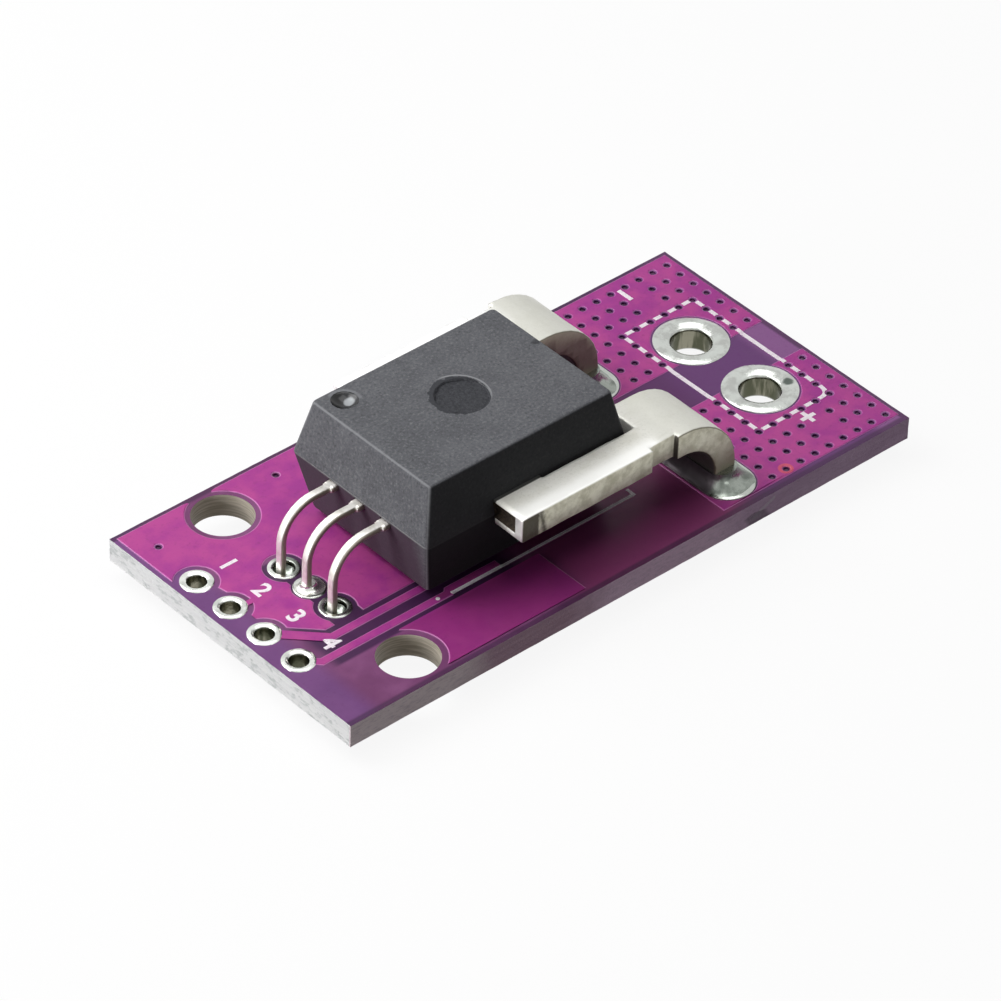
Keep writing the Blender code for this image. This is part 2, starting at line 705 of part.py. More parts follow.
def current_solder():
    """Solder round each current leg, with a fillet on both faces of the board."""
    slot = (SLOT_RADIUS - FIT, hugging_length(SLOT_RADIUS))
    rim = (CURRENT_PAD_RADIUS - SOLDER_RIM, CURRENT_PAD_HALF_LENGTH, CURRENT_PAD_SHIFT)
    neck_radius = CONDUCTOR_THICKNESS / 2 + CURRENT_SKIN
    neck = (neck_radius, hugging_length(neck_radius), 0)
    for index, place in enumerate(current_places(), start=1):
        rings = fillet_rings(rim, neck, PAD_BOTTOM, CURRENT_TAIL_FILLET, -1)
        rings.reverse()
        rings.append((slot[0], PAD_BOTTOM - FIT, slot[1], 0))
        rings.append((slot[0], PAD_TOP + FIT, slot[1], 0))
        rings += fillet_rings(rim, neck, PAD_TOP, CURRENT_FILLET_HEIGHT, 1)
        bm = bmesh.new()
        sweep_profile(bm, place, rings, LARGE_TURN, hollow=False)
        solder = add_object(f"current_solder_{index}", bm, solder_alloy())
        combine(solder, stamped_conductor(f"leg_core_{index}", FIT), "DIFFERENCE")


def clear_scene():
    for obj in list(bpy.data.objects):
        bpy.data.objects.remove(obj)


clear_scene()
circuit_board()
header_platings()
signal_platings()
terminal_platings()
current_platings()
flux_core(material=core_steel())
hall_die(material=silicon())
signal_leads()
primary_conductor()
sensor_body()
signal_solder()
current_solder()
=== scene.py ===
import math
import random

import bmesh
import bpy
from mathutils import Matrix, Vector, geometry, noise
from mathutils.bvhtree import BVHTree


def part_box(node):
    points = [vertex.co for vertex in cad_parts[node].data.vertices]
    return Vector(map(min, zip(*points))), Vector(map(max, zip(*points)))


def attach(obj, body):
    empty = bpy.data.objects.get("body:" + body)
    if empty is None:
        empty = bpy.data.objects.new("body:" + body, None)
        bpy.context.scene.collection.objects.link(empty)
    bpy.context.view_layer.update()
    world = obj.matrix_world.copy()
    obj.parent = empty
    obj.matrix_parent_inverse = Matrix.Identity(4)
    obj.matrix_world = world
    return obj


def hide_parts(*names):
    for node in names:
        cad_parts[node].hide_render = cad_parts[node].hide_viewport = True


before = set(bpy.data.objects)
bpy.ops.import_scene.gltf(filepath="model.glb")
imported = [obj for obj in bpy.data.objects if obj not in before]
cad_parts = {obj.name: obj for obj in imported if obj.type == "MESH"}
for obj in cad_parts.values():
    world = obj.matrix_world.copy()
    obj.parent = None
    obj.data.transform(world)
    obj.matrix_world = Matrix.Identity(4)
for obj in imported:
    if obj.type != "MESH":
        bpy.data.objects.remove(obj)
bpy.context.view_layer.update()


# The circuit board: 1.3 mm glass epoxy, copper foil etched on both faces, and purple solder mask
# over all of it. The mask follows the foil, so each copper area stands a little above the laminate.
# All outlines here are millimetres across the board, seen from above.
MM = 0.001
board_low, board_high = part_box("circuit_board")
BOARD_TOP, BOARD_BOTTOM = board_high.z, board_low.z
TOP, BOTTOM = BOARD_TOP / MM, BOARD_BOTTOM / MM
MIDDLE, HALF_THICKNESS = (TOP + BOTTOM) / 2, (TOP - BOTTOM) / 2
HALF_LENGTH, HALF_WIDTH = board_high.x / MM, board_high.y / MM
FOIL_RISE, FOIL_SLOPE = 0.045, 0.1
EDGE_STEP, EDGE_WANDER = 0.45, 0.014
EDGE_FUZZ, FUZZ_PER_METRE = 0.03, 2600

HEADER_HOLES = [(-17.15, y) for y in (3.81, 1.27, -1.27, -3.81)]
SIGNAL_HOLES = [(-13.25, y) for y in (1.91, 0.0, -1.91)]
TERMINAL_HOLES = [(14.2, y) for y in (2.54, -2.54)]
CURRENT_SLOTS = [(7.55, y) for y in (5.0, -5.0)]
FIXING_HOLES = [(-12.95, y) for y in (6.9, -6.9)]
HEADER_HOLE, HEADER_PAD = 1.0, 1.75
SIGNAL_HOLE, SIGNAL_PAD = 1.1, 1.70
TERMINAL_HOLE, TERMINAL_PAD = 2.1, 4.0
FIXING_HOLE = 3.2
SLOT_RADIUS, SLOT_STRAIGHT = 1.05, 1.45
BARREL_WALL = 0.07
PRINT_FRAME = (11.77, 16.65, 5.03)
VIA_START, VIA_PITCH, VIA_COUNT = (9.8, 2.03), (0.977, 1.003), (9, 7)
VIA_PIT, PIT_LIP, PIT_DEPTH = 0.165, 0.045, 0.16


def ring(centre, radius, steps=48):
    turns = [2 * math.pi * step / steps for step in range(steps)]
    return [(centre[0] + radius * math.cos(a), centre[1] + radius * math.sin(a)) for a in turns]


def slot_ring(centre, radius, straight, steps=48):
    """A slot's outline: round ends of the given radius, drawn out along Y by the half straight."""
    outline = []
    for step in range(steps):
        a = 2 * math.pi * (step + 0.5) / steps
        shift = math.copysign(straight, math.sin(a))
        outline.append((centre[0] + radius * math.cos(a), centre[1] + shift + radius * math.sin(a)))
    return outline


def box(low, high):
    return [low, (high[0], low[1]), high, (low[0], high[1])]


def track(path, width):
    """The outline of a copper track of even width along a path of points."""
    left, right = [], []
    for index, point in enumerate(path):
        before = Vector(path[max(index - 1, 0)])
        after = Vector(path[min(index + 1, len(path) - 1)])
        here = Vector(point)
        ways = [way.normalized() for way in (here - before, after - here) if way.length > 0]
        along = sum(ways, Vector((0.0, 0.0))).normalized()
        reach = width / 2 / max(0.5, along.dot(ways[0]))
        across = Vector((-along.y, along.x)) * reach
        left.append(tuple(here + across))
        right.append(tuple(here - across))
    return right + left[::-1]


def routed_edge():
    """The board's outline, whose routed sides wander inwards by some hundredths."""
    chance = random.Random(4)
    corners = [Vector(corner) for corner in box((-HALF_LENGTH, -HALF_WIDTH), (HALF_LENGTH, HALF_WIDTH))]
    outline = []
    for start, end in zip(corners, corners[1:] + corners[:1]):
        inward = Vector((start.y - end.y, end.x - start.x)).normalized()
        count = int((end - start).length / EDGE_STEP)
        for step in range(count):
            wander = chance.uniform(0, EDGE_WANDER) if step else 0.0
            outline.append(tuple(start.lerp(end, step / count) + inward * wander))
    return outline


def grid_vias():
    """The current areas are stitched by a grid of vias, left out inside the printed frame."""
    low, high, half = PRINT_FRAME
    places = []
    for column in range(VIA_COUNT[0]):
        for row in range(VIA_COUNT[1]):
            x, y = VIA_START[0] + VIA_PITCH[0] * column, VIA_START[1] + VIA_PITCH[1] * row
            inside = low + 0.2 < x < high - 0.2 and y < half - 0.2
            under_mark = column == 5 and 5.5 < y < 7.5
            if not inside and not under_mark:
                places += [(x, y), (x, -y)]
    return places


VIA_PLACES = grid_vias() + [(-16.9, 7.0), (-8.95, 7.65), (-5.0, -3.5)]

signal_plane = [(-18.12, 8.82), (-18.12, 4.5), (-16.75, 4.5)]
for y in (3.81, 1.27):
    signal_plane += [(-16.5, y + 0.45), (-16.5, y - 0.45), (-16.75, y - 0.7)]
signal_plane += [(-16.75, -0.6), (-16.45, -1.27), (-14.75, -2.97), (1.5, -2.97)]
signal_plane += [(1.5, 3.6), (4.6, 3.6), (4.6, 8.82)]
signal_plane += [(-11.9, 8.82), (-12.35, 8.6), (-13.55, 8.6), (-14.0, 8.82)]
corner_plane = [(-3.0, -8.55), (-3.0, -5.15), (-12.83, -5.15)]
for a in (1.5, 1.2, 0.9, 0.6, 0.3, 0, -0.3, -0.6, -0.9, -1.22):
    corner_plane.append((-12.95 + 1.72 * math.cos(a), -6.9 + 1.72 * math.sin(a)))
corner_plane.append((-12.362, -8.55))
far_current_plane = box((5.9, 1.42), (18.18, 8.82))
near_current_plane = box((6.1, -8.52), (18.18, -1.42))
tracks = [
    track([(-16.63, -1.79), (-14.92, -3.5), (-5.0, -3.5)], 0.58),
    track([(-16.63, -4.33), (-16.36, -4.6), (-8.4, -4.6), (-8.2, -4.4), (-5.0, -4.4)], 0.58),
    track([(-16.45, 0.98), (-15.85, 0.98)], 0.3),
]
lower_plane = [(-18.0, 8.6), (-18.0, -8.6), (4.6, -8.6), (4.6, 8.6)]

drilled = [ring(place, HEADER_HOLE / 2 + BARREL_WALL, 32) for place in HEADER_HOLES]
drilled += [ring(place, SIGNAL_HOLE / 2 + BARREL_WALL, 32) for place in SIGNAL_HOLES]
drilled += [ring(place, TERMINAL_HOLE / 2 + BARREL_WALL) for place in TERMINAL_HOLES]
for place in CURRENT_SLOTS:
    drilled.append(slot_ring(place, SLOT_RADIUS + BARREL_WALL, SLOT_STRAIGHT - BARREL_WALL))
fixing_holes = [ring(place, FIXING_HOLE / 2, 64) for place in FIXING_HOLES]
openings = [ring(place, TERMINAL_PAD / 2 + 0.03, 64) for place in TERMINAL_HOLES]
openings += [ring(SIGNAL_HOLES[1], SIGNAL_PAD / 2 + 0.03)]
openings += [slot_ring((7.82, y), 1.5, 1.85) for y in (5.0, -5.0)]
clearances = [ring(place, 1.1) for place in HEADER_HOLES[:3]]
clearances += [ring(SIGNAL_HOLES[0], 1.03), ring(SIGNAL_HOLES[2], 1.03)]
clearances += [box((-13.8, 0.5), (-12.7, 1.3)), box((-13.8, -1.3), (-12.7, -0.5))]
clearances += [box((-14.1, -3.1), (-12.4, -2.4))]
clearances += [ring(place, radius, 64) for place, radius in zip(FIXING_HOLES, (1.82, 1.9))]
lower_clearances = [ring(place, 1.15) for place in HEADER_HOLES[:1] + HEADER_HOLES[2:]]


def marked(kind, outlines):
    return [(kind, outline) for outline in outlines]


common = marked("board", [routed_edge()]) + marked("hole", drilled + fixing_holes)
common += marked("opening", openings) + marked("pit", [ring(place, VIA_PIT, 12) for place in VIA_PLACES])
upper_art = common + marked("plane", [signal_plane, corner_plane, far_current_plane, near_current_plane])
upper_art += marked("track", tracks) + marked("clearance", clearances)
lower_art = common + marked("plane", [lower_plane, far_current_plane, near_current_plane])
lower_art += marked("clearance", clearances[3:] + lower_clearances)


def cut_sheet(bm, art, scale, height):
    """Cuts a flat sheet along every outline. Yields each cell's corners and its owners' kinds."""
    points, faces = [], []
    for _, outline in art:
        faces.append(list(range(len(points), len(points) + len(outline))))
        points += [Vector(point) for point in outline]
    made = geometry.delaunay_2d_cdt(points, [], faces, 0, 1e-5)
    verts = [bm.verts.new((point.x * scale, point.y * scale, height)) for point in made[0]]
    for corners, owners in zip(made[2], made[5]):
        yield [verts[index] for index in corners], {art[owner][0] for owner in owners}


def lay_sheet(bm, art, height, upwards):
    """One face of the board. Returns its copper faces and its pit faces."""
    copper, pits = [], []
    for corners, kinds in cut_sheet(bm, art, MM, height):
        if "board" not in kinds or "hole" in kinds:
            continue
        face = bm.faces.new(corners if upwards else corners[::-1])
        foil = "track" in kinds or ("plane" in kinds and "clearance" not in kinds)
        if "pit" in kinds:
            pits.append(face)
        elif foil and "opening" not in kinds:
            copper.append(face)
    return copper, pits


def at_edge(x, y):
    return abs(x) > HALF_LENGTH - 0.1 or abs(y) > HALF_WIDTH - 0.1


def spot(vert):
    return round(vert.co.x / MM, 3), round(vert.co.y / MM, 3)


def wall_in(bm, levels):
    """Joins the two faces of the board along its edge and its holes."""
    columns = {}
    rims = [rim for rim in bm.edges if len(rim.link_faces) == 1]
    for vert in [vert for rim in rims for vert in rim.verts]:
        columns.setdefault(spot(vert), {})[vert.co.z > MIDDLE * MM] = vert
    for key, pair in columns.items():
        top, low = pair[True], pair[False]
        between = []
        for level in range(1, levels):
            place = top.co.lerp(low.co, level / levels)
            if at_edge(*key):
                pull = abs(noise.noise(place * FUZZ_PER_METRE)) * EDGE_FUZZ * MM
                place -= Vector((place.x, place.y * 2, 0)).normalized() * pull
            between.append(bm.verts.new(place))
        columns[key] = [top, *between, low]
    upper_loops = [rim.link_loops[0] for rim in rims if rim.link_faces[0].normal.z > 0]
    for ends in [(loop.vert, loop.link_loop_next.vert) for loop in upper_loops]:
        first, second = (columns[spot(vert)] for vert in ends)
        outer = at_edge(first[0].co.x / MM, first[0].co.y / MM)
        for level in range(levels):
            wall = bm.faces.new((second[level], first[level], first[level + 1], second[level + 1]))
            wall.material_index = 1 if outer else 2


def inset(bm, faces, width, depth=0.0):
    """Draws the faces in as one region, raised by the depth. Returns the new faces round them."""
    sizes = {"thickness": width * MM, "depth": depth * MM, "use_even_offset": True}
    return bmesh.ops.inset_region(bm, faces=faces, **sizes)["faces"]


def board_skin():
    bm = bmesh.new()
    upper = lay_sheet(bm, upper_art, BOARD_TOP, True)
    lower = lay_sheet(bm, lower_art, BOARD_BOTTOM, False)
    bmesh.ops.delete(bm, geom=[vert for vert in bm.verts if not vert.link_faces], context="VERTS")
    bm.normal_update()
    wall_in(bm, 4)
    for (copper, pits), bare, way in ((upper, BOARD_TOP, 1), (lower, BOARD_BOTTOM, -1)):
        for spread, rise in ((0.45, 0.3), (0.55, 1.0)):
            inset(bm, copper, FOIL_SLOPE * spread)
            for vert in {vert for face in copper for vert in face.verts}:
                vert.co.z = bare + way * FOIL_RISE * rise * MM
        inset(bm, pits, PIT_LIP, -PIT_DEPTH)
    return bm


class Signal:
    """One shader socket. Sums on it add Math nodes, and node() adds a node of any other kind."""

    def __init__(self, socket):
        self.socket = socket

    def node(self, kind, settings, inputs, output=0):
        tree = self.socket.id_data
        made = tree.nodes.new(kind)
        for name, value in settings.items():
            setattr(made, name, value)
        for key, value in inputs.items():
            by_name = [socket for socket in made.inputs if key in (socket.identifier, socket.name)]
            socket = made.inputs[key] if isinstance(key, int) else by_name[0]
            if isinstance(value, Signal):
                tree.links.new(value.socket, socket)
            else:
                socket.default_value = value
        return Signal(made.outputs[output])

    def sum(self, operation, first, second):
        return self.node("ShaderNodeMath", {"operation": operation}, {0: first, 1: second})

    def __add__(self, other):
        return self.sum("ADD", self, other)

    def __sub__(self, other):
        return self.sum("SUBTRACT", self, other)

    def __rsub__(self, other):
        return self.sum("SUBTRACT", other, self)

    def __mul__(self, other):
        return self.sum("MULTIPLY", self, other)

    def __abs__(self):
        return self.sum("ABSOLUTE", self, 0.0)

    def __pow__(self, other):
        return self.sum("POWER", self, other)

    __radd__ = __add__
    __rmul__ = __mul__


def paint(*parts):
    """A colour as it looks on a screen, turned into the linear values that a shader takes."""
    shares = [part / 255 for part in parts]
    return (*[part / 12.92 if part < 0.04045 else ((part + 0.055) / 1.055) ** 2.4 for part in shares], 1)


def stretch(place, *scales):
    """Millimetre coordinates with their own scale on each axis."""
    return place.node("ShaderNodeVectorMath", {"operation": "MULTIPLY"}, {0: place, 1: scales})


def grain(place, scale, detail=3.0, roughness=0.55):
    """Noise from 0 to 1, with a scale in features per millimetre."""
    sizes = {"Vector": place, "Scale": scale, "Detail": detail, "Roughness": roughness}
    return place.node("ShaderNodeTexNoise", {}, sizes, "Fac")


def ease(value, low, high, start=0.0, end=1.0):
    """Turns low to high into start to end, with soft ends."""
    limits = {"Value": value, "From Min": low, "From Max": high, "To Min": start, "To Max": end}
    return value.node("ShaderNodeMapRange", {"interpolation_type": "SMOOTHSTEP"}, limits, "Result")


def fade(value, low, high, full=1.0):
    """Full up to low and nothing from high on."""
    return ease(value, low, high, full, 0.0)


def near(value, middle, inner, outer, full=1.0):
    """Full within the inner distance of the middle and nothing beyond the outer one."""
    return fade(abs(value - middle), inner, outer, full)


def blend(amount, first, second):
    """Two colours in one, each a signal or three screen values."""
    sockets = {"Factor_Float": amount}
    for side, colour in (("A_Color", first), ("B_Color", second)):
        sockets[side] = colour if isinstance(colour, Signal) else paint(*colour)
    return amount.node("ShaderNodeMix", {"data_type": "RGBA"}, sockets, 2)


def mottle(value, low, high, first, second):
    return blend(ease(value, low, high), first, second)


def coats(colour, *layers):
    """Lays coats of (amount, red, green, blue) over a colour, one after the other."""
    for amount, *shade in layers:
        colour = blend(amount, colour, shade)
    return colour


def axes_of(place):
    split = place.node("ShaderNodeSeparateXYZ", {}, {"Vector": place})
    outputs = split.socket.node.outputs
    return Signal(outputs["X"]), Signal(outputs["Y"]), Signal(outputs["Z"])


def relief(height, distance):
    """A bump of the given depth in millimetres."""
    return height.node("ShaderNodeBump", {}, {"Height": height, "Distance": distance * MM}, "Normal")


def surface(name, pattern, **constants):
    """A material: pattern(place, facing) gives its colour, roughness and, mostly, its relief."""
    material = bpy.data.materials.new(name)
    material.use_nodes = True
    tree = material.node_tree
    shader = tree.nodes["Principled BSDF"]
    coordinates = tree.nodes.new("ShaderNodeTexCoord")
    metres = Signal(coordinates.outputs["Object"])
    inputs = {"Vector": metres, "Scale": 1 / MM}
    place = metres.node("ShaderNodeVectorMath", {"operation": "SCALE"}, inputs)
    varying = pattern(place, Signal(coordinates.outputs["Normal"]))
    for socket, value in zip(("Base Color", "Roughness", "Normal"), varying):
        tree.links.new(value.socket, shader.inputs[socket])
    for socket, value in constants.items():
        shader.inputs[socket.replace("_", " ")].default_value = value
    return material


def grained(scales, detail, roughness, limits, first, second, gloss, depth=None):
    """A pattern of one noise, which mottles two colours and sets the gloss and any relief."""

    def pattern(place, facing):
        grit = grain(stretch(place, *scales), 1.0, detail, roughness)
        looks = mottle(grit, *limits, first, second), ease(grit, 0.3, 0.7, *gloss)
        return (*looks, relief(grit, depth)) if depth else looks

    return pattern


def mask_pattern(place, facing):
    """Mask is bright over foil, dark over bare laminate, thin and pale on the foil's edges with a
    painted highlight, and darkened by painted shade in the via pits, among the tracks and on the front
    copper area by the near bar.
    """
    x, y, z = axes_of(place)
    level = abs(z - MIDDLE) - HALF_THICKNESS
    foil = ease(level, 0.004, FOIL_RISE - 0.004)
    clouds = grain(place, 0.22, 2.0) * 0.5 + grain(place, 0.9, 4.0, 0.6) * 0.5
    over_foil = coats(
        mottle(clouds, 0.36, 0.62, (167, 57, 147), (189, 75, 151)),
        # The front copper area left of the bar's end is darker: painted shade from the moulding and the
        # bar.
        (fade(y, -5.4, -4.9, 0.85) * fade(x, -3.5, 0.0), 144, 44, 118),
    )
    over_bare = coats(
        mottle(grain(place, 0.35, 3.0), 0.35, 0.65, (116, 62, 106), (136, 80, 126)),
        (fade(x, -17.2, -16.0, 0.6), 112, 72, 134),
        (ease(x, -5.0, -2.0), 136, 58, 108),
    )
    by_terminals = coats(
        mottle(x, 10.5, 12.5, (92, 46, 98), (104, 60, 114)),
        (ease(x, 16.0, 17.0), 142, 92, 146),
    )
    # The bare mask among the tracks is darker: painted shade in the narrow gaps.
    shade_among_tracks = near(y, -1.3, 3.9, 4.1) * ease(x, -16.4, -15.6) * fade(x, -5.0, -3.5)
    margin = x.sum("MAXIMUM", abs(y) - HALF_WIDTH, x - HALF_LENGTH)
    over_bare = coats(
        blend(ease(x, 6.0, 9.0), over_bare, by_terminals),
        (shade_among_tracks * 0.85, 54, 26, 66),
        (ease(margin, -0.42, -0.22, 0.0, 0.75), 62, 34, 66),
    )
    from_scorch = ((x - 10.75) ** 2.0 + (y + 8.03) ** 2.0) ** 0.5
    colour = coats(
        blend(foil, over_bare, over_foil),
        # The foil's edges are pale: partly thinner mask, partly a painted highlight.
        (foil * (1 - foil) * ease(x, 8.6, 9.2, 2.3, 1.3), 232, 150, 214),
        (near(from_scorch, 0.3, 0.05, 0.14, 0.8), 226, 96, 112),
        # Darker down the via pits: painted shade.
        (fade(level, -0.09, 0.0), 40, 12, 44),
        (ease(grain(place, 3.5, 4.0, 0.7), 0.52, 0.75, 0.0, 0.22), 90, 36, 92),
    )
    ripple = grain(place, 1.1, 3.0) + grain(place, 9.0, 2.0) * 0.2
    return colour, ease(grain(place, 1.8, 3.0), 0.3, 0.7, 0.34, 0.46), relief(ripple, 0.012)


def cut_edge_pattern(place, facing):
    """The routed side: resin and glass cloth in plies. The near side has a scrape, a chip drawn as
    painted shade, and painted light and shade along its length.
    """
    x, y, z = axes_of(place)
    strands = grain(stretch(place, 2.2, 2.2, 9.0), 1.0, 4.0, 0.7)
    plies = grain(stretch(place, 0.25, 0.25, 7.5), 1.0, 2.0)
    knots = grain(stretch(place, 1.5, 1.5, 2.6), 1.0, 3.0, 0.6) * 0.6 + strands * 0.4
    cream = coats(
        mottle(plies, 0.35, 0.65, (255, 255, 255), (248, 248, 249)),
        (ease(knots, 0.5, 0.6, 0.0, 0.6), 194, 199, 198),
    )
    along = x + grain(place, 0.5) * 4.0 - 2.0
    scrape = abs(z - 1.3 - (x - 7.5) * 0.42) + ease(abs(x - 8.4), 0.7, 1.0)
    chip = abs(x - 7.9 + (z - 1.4) * 0.6) + ease(z, 1.5, 1.8)
    # The near side's tone changes along its length as painted light and shade; the scrape on it is wear.
    near_edge_light_and_wear = coats(
        mottle(along, -12.5, -9.0, (255, 238, 242), (176, 142, 160)),
        (ease(along, -5.0, -1.0), 238, 204, 230),
        (ease(along, 4.0, 8.0), 194, 162, 192),
        (ease(strands, 0.45, 0.7, 0.0, 0.35), 150, 122, 150),
        (fade(scrape, 0.05, 0.16, 0.8), 206, 190, 206),
        # A dark patch where the side is chipped: painted shade of the chip's hollow.
        (fade(chip, 0.5, 0.9, 0.7), 50, 40, 50),
    )
    colour = blend(fade(y, 0.05 - HALF_WIDTH, 0.12 - HALF_WIDTH), cream, near_edge_light_and_wear)
    tear = strands + grain(place, 6.0, 3.0) * 0.6
    return colour, ease(plies, 0.3, 0.7, 0.6, 0.8), relief(tear, 0.03)


# A drilled wall is olive resin with the drill's fine rings.
drilled_pattern = grained(
    (0.6, 0.6, 12.0), 3.0, 0.55, (0.35, 0.65), (208, 198, 184), (172, 163, 146), (0.45, 0.65), 0.02
)


def add_object(name, data):
    made = bpy.data.objects.new(name, data)
    bpy.context.scene.collection.objects.link(made)
    return made


def show(name, mesh, crease):
    """An object of the mesh, smooth except over creases."""
    mesh.shade_smooth()
    mesh.set_sharp_from_angle(angle=math.radians(crease))
    return add_object(name, mesh)


def plain_mesh(name, bm):
    mesh = bpy.data.meshes.new(name)
    bm.to_mesh(mesh)
    bm.free()
    return mesh


def new_piece(name, bm, *materials, crease=30):
    mesh = plain_mesh(name, bm)
    for material in materials:
        mesh.materials.append(material)
    return show(name, mesh, crease)


board = new_piece(
    "masked_circuit_board",
    board_skin(),
    surface("purple_solder_mask", mask_pattern, Specular_IOR_Level=0.24),
    surface("routed_glass_epoxy", cut_edge_pattern),
    surface("drilled_glass_epoxy", drilled_pattern),
    crease=9,
)
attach(board, "root")
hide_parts("circuit_board")


# The tented vias: small plated holes through the copper areas, closed by a film of mask that sags
# into each hole and stays darker than the foil round it.
FILM_DEPTH = 0.09 * MM
LEAN = 0.12
film_pattern = grained(
    (4.0, 4.0, 4.0), 2.0, 0.55, (0.3, 0.7), (46, 14, 50), (78, 26, 76), (0.25, 0.4), 0.01
)


def plain_tree(name, inputs):
    """A node group with a Geometry input, the named sizes, and a Geometry output."""
    tree = bpy.data.node_groups.new(name, "GeometryNodeTree")
    for label, kind in {"Geometry": "Geometry", **inputs}.items():
        tree.interface.new_socket(label, in_out="INPUT", socket_type="NodeSocket" + kind)
    tree.interface.new_socket("Geometry", in_out="OUTPUT", socket_type="NodeSocketGeometry")
    return tree, tree.nodes.new("NodeGroupInput").outputs


def tree_node(tree, kind, inputs, output=0, **settings):
    """Adds a geometry node, sets it, links or fills its sockets, and returns one output."""
    made = tree.nodes.new(kind)
    for name, value in settings.items():
        setattr(made, name, value)
    for key, value in inputs.items():
        socket = made.inputs[key]
        if isinstance(value, bpy.types.NodeSocket):
            tree.links.new(value, socket)
        else:
            socket.default_value = value
    return made.outputs[output]


def scatter(tree, points, shape, lean, seed, material):
    """Ends the tree with the shape on every point, turned at random, as real geometry."""
    limits = {"Min": (-lean, -lean, 0.0), "Max": (lean, lean, 6.28), "Seed": seed}
    turn = tree_node(tree, "FunctionNodeRandomValue", limits, data_type="FLOAT_VECTOR")
    sockets = {"Points": points, "Instance": shape, "Rotation": turn}
    placed = tree_node(tree, "GeometryNodeInstanceOnPoints", sockets)
    solid = tree_node(tree, "GeometryNodeRealizeInstances", {"Geometry": placed})
    dressed = tree_node(tree, "GeometryNodeSetMaterial", {"Geometry": solid, "Material": material})
    tree.links.new(dressed, tree.nodes.new("NodeGroupOutput").inputs[0])
    return tree


def settled_mesh(maker):
    """The mesh that an object comes to. The object itself goes."""
    bpy.context.view_layer.update()
    mesh = bpy.data.meshes.new_from_object(maker.evaluated_get(bpy.context.evaluated_depsgraph_get()))
    bpy.data.objects.remove(maker)
    return mesh


def grown_piece(name, start, tree, sizes, crease=30):
    """Runs the tree on the starting mesh and returns its result as a plain mesh object."""
    seed_piece = add_object(name + "_seed", start)
    modifier = seed_piece.modifiers.new("Grown", "NODES")
    modifier.node_group = tree
    for item in tree.interface.items_tree:
        if item.in_out == "INPUT" and item.name in sizes:
            modifier[item.identifier] = sizes[item.name]
    mesh = settled_mesh(seed_piece)
    mesh.name = name
    return show(name, mesh, crease)


def tent_tree(material):
    """Sets a flattened drop of film in every pit."""
    sizes = {"Film Radius": "Float", "Film Thickness": "Float", "Seed": "Int"}
    tree, given = plain_tree("tented_vias", sizes)
    radius, thickness = given["Film Radius"], given["Film Thickness"]
    drop = tree_node(tree, "GeometryNodeMeshUVSphere", {"Segments": 10, "Rings": 5, "Radius": radius})
    ratio = tree_node(tree, "ShaderNodeMath", {0: thickness, 1: radius}, operation="DIVIDE")
    squash = tree_node(tree, "ShaderNodeCombineXYZ", {"X": 1.0, "Y": 1.0, "Z": ratio})
    film = tree_node(tree, "GeometryNodeTransform", {"Geometry": drop, "Scale": squash})
    return scatter(tree, given["Geometry"], film, LEAN, given["Seed"], material)


film_points = bpy.data.meshes.new("via_points")
film_levels = (BOARD_TOP - FILM_DEPTH, BOARD_BOTTOM + FILM_DEPTH)
film_points.from_pydata([(x * MM, y * MM, z) for z in film_levels for x, y in VIA_PLACES], [], [])
tents = grown_piece(
    "tented_vias",
    film_points,
    tent_tree(surface("sagging_mask_film", film_pattern)),
    {"Film Radius": 0.14 * MM, "Film Thickness": 0.03 * MM, "Seed": 3},
)
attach(tents, "root")


# The tinned holes: each has a copper barrel through the board and a pad ring on both faces, dipped
# in hot tin and blown level, so the rings are bright and a little crowned and uneven.
PAD_ROUNDING = 0.09
NOISE_SEED = 5
noise.seed_set(NOISE_SEED)


def unsettle(bm, amount, scale, seed=0):
    """Moves the skin by smooth noise, up to the given millimetres. The seed is a shift in it."""
    for vert in bm.verts:
        drift = noise.noise_vector(vert.co / MM * scale + Vector((seed, 7.3 * seed, 0)))
        vert.co += drift * amount * MM


def turned_skin(place, rings, turn, closed, *drift):
    """A skin through slot outlines of (radius, height, half straight, shift along X), in millimetres."""
    bm = bmesh.new()
    loops = []
    for radius, height, straight, shift in rings:
        outline = slot_ring((place[0] + shift, place[1]), radius, straight, turn)
        loops.append([bm.verts.new((x * MM, y * MM, height * MM)) for x, y in outline])
    back_to_first = loops[:1] if closed else []
    for lower, upper in zip(loops, loops[1:] + back_to_first):
        for step in range(turn):
            after = (step + 1) % turn
            bm.faces.new((lower[step], lower[after], upper[after], upper[step]))
    if not closed:
        bm.faces.new(loops[0][::-1])
        bm.faces.new(loops[-1])
    if drift:
        unsettle(bm, *drift)
    bmesh.ops.recalc_face_normals(bm, faces=bm.faces)
    return bm


def arc(centre_radius, centre_height, radius, start, end, steps):
    """Points of a rounded edge, as (radius, height), between two angles in degrees."""
    angles = [math.radians(start + (end - start) * step / steps) for step in range(steps + 1)]
    return [(centre_radius + radius * math.cos(a), centre_height + radius * math.sin(a)) for a in angles]


def pad_section(hole, pad, lip, crown):
    """Half section of a plated hole: barrel, rolled lips, and a crowned pad on both faces."""
    barrel = [(hole, MIDDLE + HALF_THICKNESS * part) for part in (0.0, 0.3, 0.6)]
    upper = barrel + arc(hole + lip, TOP + 0.05 - lip, lip, 180, 105, 5)
    inner, outer = hole + lip, pad - PAD_ROUNDING
    for part in (0.25, 0.5, 0.75):
        upper.append((inner + (outer - inner) * part, TOP + 0.06 + crown * math.sin(math.pi * part)))
    upper += arc(outer, TOP - 0.02, PAD_ROUNDING, 70, 0, 4)
    lower = [(radius, BOTTOM + TOP - height) for radius, height in reversed(upper[1:])]
    return [(radius, height, 0.0, 0.0) for radius, height in reversed(upper + lower)]


